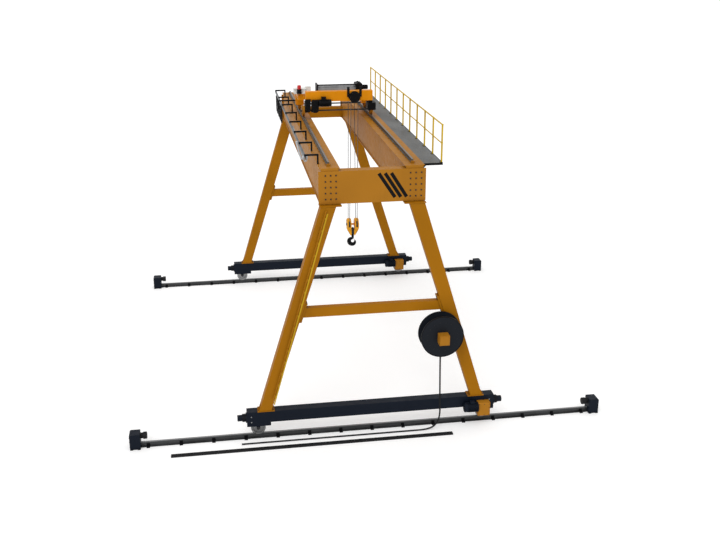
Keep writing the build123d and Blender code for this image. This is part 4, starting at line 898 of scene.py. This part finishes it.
def add_motor_ends(bm, centre, axis, radius, length, cowl):
    """Mounting flange with bolts, and the fan cowl with its grille of rings and bars."""
    turn = frame_along(axis)
    centre = Vector(centre)
    add_turned(bm, centre, axis, [(radius * 1.06, 0.0), (radius * 1.06, 0.020), (radius, 0.024)], 36)
    for a in turns(6, 0.5):
        spot = centre + turn @ Vector((math.cos(a), math.sin(a), 0)) * radius + axis * 0.024
        add_bolt(bm, spot, axis, radius * 0.06, washer=False)
    end = centre + axis * length
    for share in (0.30, 0.50, 0.70):
        inner, outer = pair(radius * share, 0.003)
        add_ring(bm, end, axis, [(inner, 0.0), (inner, 0.004), (outer, 0.004), (outer, 0.0)], 28)
    bar_place = end + axis * 0.002
    for a in turns(8)[:4]:
        along = turn @ Vector((math.cos(a), math.sin(a), 0)) * radius * 0.78
        add_rod(bm, bar_place - along, bar_place + along, 0.003, 8)
    lip = [(radius * 1.015, -0.004), (radius * 1.015, 0.012), (radius * 0.99, 0.014)]
    add_turned(bm, end - axis * cowl, axis, lip, 36)


def add_lid(bm, low, high, inset):
    """Lid of a terminal box with a screw near each corner."""
    add_box(bm, low, high, 0.004)
    screws = rows(UP, within(low[0], high[0], inset), within(low[1], high[1], inset), high[2])
    add_bolts(bm, screws, 0.006, washer=False)


def make_travel_drives():
    bm = bmesh.new()
    places = []
    for y0 in FRAMES:
        start = Vector((TRAVEL_MOTOR_X, y0 + TRAVEL_MOTOR_Y, TRAVEL_MOTOR_Z))
        add_motor_fins(bm, start, LEFT, 0.142, 0.158, 0.03, 0.30, 30, math.pi / 2)
        add_motor_ends(bm, start, LEFT, 0.148, 0.440, 0.095)
        add_box(bm, start + Vector((-0.25, -0.06, 0.13)), start + Vector((-0.11, 0.06, 0.195)), 0.006)
        add_lid(bm, start + Vector((-0.254, -0.064, 0.195)), start + Vector((-0.106, 0.064, 0.207)), 0.019)
        face, edge = y0 + TRAVEL_BOX_Y, TRAVEL_BOX_X + 0.155
        places += rows(FRONT, (TRAVEL_BOX_X - 0.155, TRAVEL_BOX_X, edge), face, (0.375, 0.740))
        places += rows(FRONT, edge, face, (0.50, 0.62))
    piece("travel_drive_fittings", bm, navy_paint, "gantry", smooth=True)
    bolt_field("travel_gearbox_bolts", "gantry", places, 0.012)


def make_wheel_caps():
    """Bearing caps on the wheel lugs."""
    bm = bmesh.new()
    for y0, side in CORNERS:
        for axis in (FRONT, BACK):
            centre = Vector((side * WHEEL_X, y0, WHEEL_Z)) + axis * WHEEL_LUG
            add_turned(bm, centre, axis, [(0.050, 0.0), (0.050, 0.012), (0.042, 0.018)], 28)
            add_bolts(bm, circle(axis, centre + axis * 0.012, 0.040, 4, 0.5), 0.006, washer=False)
    piece("bearing_caps", bm, dark_steel, "gantry", smooth=True)


def make_deck_details():
    """Edge strips of the walkway, the posts' foot plates and the railing's sleeves."""
    bm = bmesh.new()
    x0, x1, top = girder_high.x, deck_high.x, deck_high.z
    add_box(bm, (x0, deck_low.y - 0.010, top - 0.06), (x1, deck_low.y, top + 0.006), 0.002)
    outline = [(x0 - 0.02, 0, top), (x0 + 0.12, 0, top), (x0 - 0.02, 0, top - 0.14)]
    add_prism(bm, outline, (0, deck_low.y - 0.022, 0), (0, deck_low.y - 0.010, 0))
    add_box(bm, (x1 - 0.006, deck_low.y, top - 0.050), (x1, deck_high.y, top + 0.012), 0.002)
    for y in steps(*POST_ROW):
        add_box(bm, (RAILING_X - 0.055, y - 0.055, top), (RAILING_X + 0.020, y + 0.055, top + 0.010), 0.002)
    piece("deck_edges", bm, black_paint, "gantry")
    bm = bmesh.new()
    sleeve = [(0.0245, 0.0), (0.0262, 0.004), (0.0262, 0.064), (0.0245, 0.068)]
    for y in steps(*POST_ROW):
        add_bolts(bm, rows(UP, RAILING_X - 0.040, pair(y, 0.038), top + 0.010), 0.008, washer=False)
        for z in (RAILING_TOP, RAILING_MID):
            add_turned(bm, (RAILING_X, y - 0.034, z), Y, sleeve, 20)
    piece("railing_fittings", bm, yellow_paint, "gantry", smooth=True)


def make_trolley_rail_clips():
    bm = bmesh.new()
    foot, top = girder_high.z, girder_high.z + 0.014
    for side in SIDES:
        for y in steps(0.55, 12.95, 32):
            for out in SIDES:
                x = side * RAIL_GAUGE + out * 0.058
                add_plate(bm, (x, y), (0.024, 0.03), (foot, top), 0.003)
                add_bolt(bm, (x + out * 0.006, y, top), UP, 0.010, washer=False)
    piece("trolley_rail_clips", bm, ochre_paint, "gantry")


def make_reel_details():
    """Rolled rims, hub plate and bolts of the reel, and the cable wound on it."""
    bm = bmesh.new()
    rim = [(0.628, 0.0), (0.628, 0.006), (0.640, 0.010), (0.650, 0.006), (0.650, 0.0)]
    hub = [(0.160, -0.001), (0.160, 0.004), (0.150, 0.006), (0.045, 0.006), (0.045, -0.001)]
    places = []
    for y, axis in ((REEL_FRONT, FRONT), (REEL_BACK, BACK)):
        add_ring(bm, (REEL_X, y, REEL_Z), axis, rim, 72)
        places += circle(axis, (REEL_X, y, REEL_Z), 0.455, 16, 0.5)
    piece("reel_rims", bm, black_paint, "reel", smooth=True)
    bm = bmesh.new()
    add_ring(bm, (REEL_X, REEL_FRONT, REEL_Z), FRONT, hub, 40)
    piece("reel_hub_plate", bm, reel_paint, "reel")
    bolt_field("reel_bolts", "reel", places, 0.010)
    bm = bmesh.new()
    start, end = (REEL_X, REEL_WOUND_FRONT, REEL_Z), (REEL_X, REEL_WOUND_BACK, REEL_Z)
    add_tube(bm, coil(start, end, X, REEL_WOUND, 7, 56), 0.022, 8)
    piece("wound_cable", bm, cable_sheath, "reel", smooth=True)
    bm = bmesh.new()
    low, high = size_of("slip_ring_box")
    add_box(bm, (low.x + 0.012, low.y - 0.004, low.z + 0.012), (high.x - 0.012, low.y, high.z - 0.012), 0.003)
    screws = rows(FRONT, within(low.x, high.x, 0.035), low.y - 0.004, within(low.z, high.z, 0.035))
    add_bolts(bm, screws, 0.009)
    piece("slip_ring_lid", bm, ochre_paint, "gantry")
    places = rows(FRONT, (2.17, 2.33, 2.49), REEL_PLATE_Y, pair(REEL_Z, 0.085))
    bolt_field("reel_bracket_bolts", "gantry", places, 0.014)
    bm = bmesh.new()
    for x in pair(REEL_X, 0.05):
        gland = [(0.018, 0.0), (0.018, 0.022), (0.014, 0.030)]
        add_turned(bm, (x, (low.y + high.y) / 2, low.z), DOWN, gland, 16)
    piece("cable_glands", bm, rubber, "gantry", smooth=True)


def make_channel_ridges():
    low, high = size_of("cable_channel")
    bm = bmesh.new()
    for y in steps(low.y + 0.040, high.y - 0.040, 5):
        add_box(bm, (low.x, y - 0.004, high.z - 0.001), (high.x, y + 0.004, high.z + 0.003), 0.001, 1)
    for x in steps(low.x + 0.95, high.x - 0.95, 8):
        add_box(bm, (x - 0.004, low.y + 0.026, high.z - 0.001), (x + 0.004, high.y - 0.026, high.z + 0.0035))
    piece("channel_ridges", bm, rubber, "runway")


# Trolley

def make_trolley_bolts():
    low, high = size_of("trolley_reducer")
    places = rows(FRONT, within(low.x, high.x, 0.030), low.y, [high.z - d for d in (0.030, 0.20, 0.37)])
    cover_left = size_of("wheel_cover")[0].x + 0.025
    places += rows(FRONT, (cover_left, -0.995), COVER_FACE, (8.70, 8.86, 8.99))
    places += rows(FRONT, (1.09, 1.33), CARRIAGE_FACE, (8.62, 8.82))
    low, high = size_of("equaliser_bracket")
    places += rows(FRONT, within(low.x, high.x, 0.045), EQUALISER_FACE, (9.15, 9.24, 9.36))
    places += circle(FRONT, (EQUALISER_X, SHEAVE_FACE, EQUALISER_Z), 0.155, 6)
    low, high = size_of("hoist_gearbox")
    places += rows(RIGHT, high.x, within(low.y, high.y, 0.045), steps(low.z + 0.045, high.z - 0.045, 4))
    low, high = size_of("drum_frame")
    places += circle(LEFT, (low.x, DRUM_Y, DRUM_Z), 0.095, 6)
    bolt_field("trolley_bolts", "trolley", places, 0.012)
    bm = bmesh.new()
    bearing = [(0.072, 0.0), (0.072, 0.003), (0.066, 0.005), (0.037, 0.005), (0.037, 0.0)]
    for x, axis in ((low.x, LEFT), (low.x + 0.05, RIGHT), (high.x - 0.05, LEFT)):
        add_ring(bm, (x, DRUM_Y, DRUM_Z), axis, bearing, 32)
    foot_top = DRUM_FOOT_Z + 0.016
    for x in within(low.x, high.x, 0.025):
        for side in SIDES:
            add_plate(bm, (x, DRUM_Y + side * 0.265), (0.037, 0.025), (DRUM_FOOT_Z, foot_top), 0.003)
            add_bolt(bm, (x, DRUM_Y + side * 0.266, foot_top), UP, 0.012)
    piece("drum_bearings", bm, black_paint, "trolley", smooth=True)


def make_trolley_drive():
    """Fins and ends of both motors, with the lifting eyes of the hoist's gearbox."""
    bm = bmesh.new()
    add_motor_fins(bm, TROLLEY_MOTOR, RIGHT, 0.116, 0.127, 0.05, 0.29, 26, math.pi / 2)
    add_motor_ends(bm, TROLLEY_MOTOR, RIGHT, 0.122, 0.440, 0.090)
    top = size_of("trolley_motor")[1].z
    add_lid(bm, (-0.604, 7.092, top), (-0.436, 7.240, top + 0.010), 0.014)
    low, high = size_of("hoist_motor")
    start = (low.x, DRUM_Y, HOIST_MOTOR_Z)
    add_motor_fins(bm, start, RIGHT, 0.072, 0.082, 0.02, 0.14, 22)
    add_motor_ends(bm, start, RIGHT, 0.080, high.x - low.x, 0.060)
    low, high = size_of("hoist_gearbox")
    cap = [(0.075, 0.0), (0.075, 0.012), (0.066, 0.018)]
    add_turned(bm, (high.x, DRUM_Y, GEARBOX_CAP_Z), RIGHT, cap)
    for y in pair(DRUM_Y, 0.14):
        add_plate(bm, (low.x + 0.065, y), (0.035, 0.012), (high.z, high.z + 0.03), 0.006)
    piece("drive_fittings", bm, black_paint, "trolley", smooth=True)


def make_drum_rope():
    """Rope wound on the drum in one even layer."""
    pitch = 2 * ROPE_RADIUS * 1.06
    rounds = int((DRUM_ROPE_RIGHT - DRUM_ROPE_LEFT) / pitch)
    start = Vector((DRUM_ROPE_LEFT, DRUM_Y, DRUM_Z))
    bm = bmesh.new()
    add_tube(bm, coil(start, start + X * pitch * rounds, Y, DRUM_RADIUS, rounds, 26), ROPE_RADIUS, 7)
    piece("drum_rope", bm, drum_rope_steel, "drum", smooth=True)


def straight(start, end):
    """Points of a straight length of rope."""
    count = max(2, int((end - start).length / ROPE_STEP))
    return [start.lerp(end, i / count) for i in range(count + 1)]


def make_hoist_ropes():
    """One rope: drum, first sheave, equaliser, second sheave and back to the drum."""
    points = []
    for side in SIDES:
        drum = Vector((DRUM_FALL_X + side * DRUM_FALL_OFFSET, DRUM_Y, DRUM_Z))
        sheave = Vector((HOOK_X + side * SHEAVE_OFFSET, HOOK_Y, SHEAVE_Z))
        over = Vector((EQUALISER_X + side * EQUALISER_SEAT, EQUALISER_Y, EQUALISER_Z))
        run = [round_point(drum, FRONT, DRUM_RADIUS, math.pi / 2 * (1 - i / 10)) for i in range(10)]
        run += straight(drum + FRONT * DRUM_RADIUS, sheave + BACK * SHEAVE_SEAT)[:-1]
        run += [round_point(sheave, BACK, SHEAVE_SEAT, -math.pi * i / 18) for i in range(19)]
        run += straight(sheave + FRONT * SHEAVE_SEAT, over)[1:]
        points += run if side < 0 else run[::-1]
        if side < 0:
            centre = (EQUALISER_X, EQUALISER_Y, EQUALISER_Z)
            points += [round_point(centre, X, EQUALISER_SEAT, math.pi * (1 - i / 16)) for i in range(1, 16)]
    bm = bmesh.new()
    add_tube(bm, points, ROPE_RADIUS * 1.06, 12, twist=6.0, waist=0.86)
    ropes = piece("laid_ropes", bm, rope_steel, None)
    for polygon in ropes.data.polygons:
        polygon.use_smooth = True
    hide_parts("hoist_ropes")
    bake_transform(ropes)


def make_festoon():
    """Flat cables in loops under carriers on the track, spread between the trolley and the track's end."""
    bm = bmesh.new()
    pitch = (LOOP_LAST - LOOP_FIRST) / LOOP_COUNT
    for index in range(LOOP_COUNT):
        middle = Vector((0, LOOP_FIRST + pitch * (index + 0.5), LOOP_TOP))
        for layer in range(LOOP_CABLES):
            half = pitch / 2 - 0.010 - 0.016 * layer
            depth = LOOP_DROP - 0.045 * layer - 0.02 * (index % 2)
            line = []
            for a in steps(0, math.pi, 25):
                line.append(middle - Y * math.cos(a) * half - Z * depth * abs(math.sin(a)) ** 0.62)
            add_strip(bm, line, pair(TRACK_X, 0.028), (0.0, -0.0065))
    for y in steps(LOOP_FIRST, LOOP_LAST, LOOP_COUNT + 1):
        add_plate(bm, (TRACK_X, y), (0.032, 0.045), (LOOP_TOP - 0.035, LOOP_TOP - 0.008), 0.006)
        add_plate(bm, (TRACK_X, y), (0.007, 0.030), (LOOP_TOP - 0.01, LOOP_TOP + 0.072), 0.002)
        for dy in (-0.018, 0.018):
            for dx in (-0.016, 0.008):
                spot = (TRACK_X + dx, y + dy, LOOP_TOP + 0.090)
                add_turned(bm, spot, X, [(0.013, 0.0), (0.013, 0.008)], 12)
    loops = piece("festoon_cables", bm, cable_sheath, None)
    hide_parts("festoon_loops")
    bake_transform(loops)


def smooth_line(points, parts):
    """Points of a smooth curve through the given ones."""
    points = [Vector(p) for p in points]
    line = []
    for i in range(len(points) - 1):
        a, b = points[i], points[i + 1]
        into = (b - points[max(i - 1, 0)]) / 2
        out = (points[min(i + 2, len(points) - 1)] - a) / 2
        for k in range(parts):
            t = k / parts
            line.append(a * (2 * t ** 3 - 3 * t ** 2 + 1) + into * (t ** 3 - 2 * t ** 2 + t)
                        + b * (3 * t ** 2 - 2 * t ** 3) + out * (t ** 3 - t ** 2))
    return line + [points[-1]]


def make_band():
    """Second sagging strip, outside the track's front end, where the tow arm's foot never comes."""
    bm = bmesh.new()
    line = smooth_line([(0, y, BAND_TOP - drop) for y, drop in BAND_SAG], 6)
    add_strip(bm, line, (BAND_LOW_X, BAND_HIGH_X), (-0.009, 0.009))
    inner = size_of("festoon_track")[0].x + 0.001
    for y in (line[0].y, line[-1].y):
        add_box(bm, (BAND_LOW_X, y - 0.03, BAND_TOP - 0.012), (inner, y + 0.03, BAND_TOP + 0.05), 0.004)
    piece("band_strip", bm, band_steel, "gantry")


def make_cabinet_details():
    """Doors, roof and lid of the cabinet, with its handles, hinges and vents."""
    front, roof, top = CABINET_FRONT, CABINET_ROOF, size_of("electric_cabinet")[1].z
    bm = bmesh.new()
    for left, right in ((-1.455, -1.262), (-1.256, -1.065)):
        add_box(bm, (left, front - 0.006, 9.118), (right, front, roof - 0.012), 0.003)
    add_box(bm, (-1.478, front - 0.014, roof), (-1.042, front + 0.358, roof + 0.010), 0.004)
    add_box(bm, (-1.050, 8.094, top), (-0.856, 8.306, top + 0.006), 0.003)
    piece("cabinet_doors", bm, white_paint, "trolley")
    bm = bmesh.new()
    for x in (-1.275, -1.243):
        add_box(bm, (x - 0.005, front - 0.016, 9.175), (x + 0.005, front - 0.006, 9.225), 0.003)
    for x in (-1.448, -1.072):
        for z in (9.14, 9.245):
            add_rod(bm, (x, front - 0.008, z - 0.012), (x, front - 0.008, z + 0.012), 0.005, 10)
    for z in steps(9.225, 9.297, 5):
        add_box(bm, (-0.864, 8.13, z), (-0.860, 8.27, z + 0.006))
    piece("cabinet_fittings", bm, dark_steel, "trolley")


def make_beacon_details():
    x, y = BEACON
    r = BEACON_RADIUS
    bm = bmesh.new()
    add_turned(bm, (x, y, 9.1745), UP, [(r, 0.0), (r, 0.112), (0.079, 0.1245), (0.0672, 0.1245)], 40)
    add_box(bm, (x - r, y - r, 9.1340), (x + r, 7.999, 9.1762), 0.003)
    piece("beacon_base", bm, black_paint, "trolley", smooth=True)
    bm = bmesh.new()
    for z in steps(9.312, 9.392, 5):
        add_ring(bm, (x, y, z), UP, [(0.0670, -0.005), (0.0705, 0.0), (0.0670, 0.005)], 40)
    piece("beacon_ribs", bm, red_lens, "trolley", smooth=True)


def make_axle_caps():
    """Hub screws and shaft nuts of the trolley's wheels."""
    for body, y in (("drive_axle", DRIVE_AXLE_Y), ("idle_axle", IDLE_AXLE_Y)):
        bm = bmesh.new()
        for side in SIDES:
            add_bolts(bm, circle(X * side, (side * HUB_X, y, AXLE_Z), 0.041, 6), 0.0065, washer=False)
            nut = [(0.022, 0.0), (0.022, 0.006), (0.016, 0.010)]
            add_turned(bm, (side * SHAFT_X, y, AXLE_Z), X * side, nut, 20)
        piece(body + "_fittings", bm, dark_steel, body)


# Hook block

def make_block_details():
    places = []
    for side in SIDES:
        face = HOOK_X + side * (SHEAVE_OFFSET + 0.075)
        places += circle(X * side, (face, HOOK_Y, SHEAVE_Z), 0.150, 8, 0.5)
    bolt_field("block_bolts", "block", places, 0.010)
    bm = bmesh.new()
    for side in SIDES:
        end = (HOOK_X + side * 0.230, HOOK_Y, SHEAVE_Z)
        add_turned(bm, end, X * side, [(0.044, -0.006), (0.044, 0.006), (0.036, 0.012)], 6)
        add_turned(bm, end, X * side, [(0.060, -0.014), (0.060, -0.008), (0.056, -0.006)])
        for out, drop in ((0.155, 0.285), (0.125, 0.34)):
            for axis in (FRONT, BACK):
                spot = Vector((HOOK_X + side * out, HOOK_Y, SHEAVE_Z - drop)) + axis * 0.070
                add_bolt(bm, spot, axis, 0.012)
    piece("block_pin_nuts", bm, dark_steel, "block", smooth=True)
    bm = bmesh.new()
    nut = [(0.046, 0.0), (0.046, 0.026), (0.040, 0.032), (0.026, 0.032), (0.026, 0.044), (0.020, 0.048)]
    add_turned(bm, (HOOK_X, HOOK_Y, NUT_Z), UP, nut, 6)
    for axis in (BACK, FRONT):
        spot = Vector((HOOK_X, HOOK_Y, CROSSHEAD_Z)) + axis * 0.060
        add_turned(bm, spot, axis, [(0.030, 0.0), (0.030, 0.006), (0.024, 0.010)], 24)
    piece("hook_nut", bm, dark_steel, "block", smooth=True)
    bm = bmesh.new()
    latch = Vector((LATCH_X, HOOK_Y, LATCH_Z))
    for axis in (FRONT, BACK):
        add_turned(bm, latch + axis * 0.024, axis, [(0.016, -0.002), (0.016, 0.006), (0.012, 0.008)], 16)
    add_tube(bm, coil(latch + FRONT * 0.018, latch + BACK * 0.018, X, 0.012, 5, 12), 0.0022, 6)
    piece("latch_spring", bm, dark_steel, "hook", smooth=True)


bpy.context.scene.view_settings.view_transform = "Standard"
bpy.context.scene.view_settings.look = "None"
make_camera()
make_floor()
make_light()
dress_nodes()
make_supply_cable()
make_frame_bolts()
make_runway_bolts()
make_buffer_rings()
make_stripes()
make_weld_lines()
make_travel_drives()
make_wheel_caps()
make_deck_details()
make_trolley_rail_clips()
make_reel_details()
make_channel_ridges()
make_trolley_bolts()
make_trolley_drive()
make_drum_rope()
make_hoist_ropes()
make_festoon()
make_band()
make_cabinet_details()
make_beacon_details()
make_axle_caps()
make_block_details()
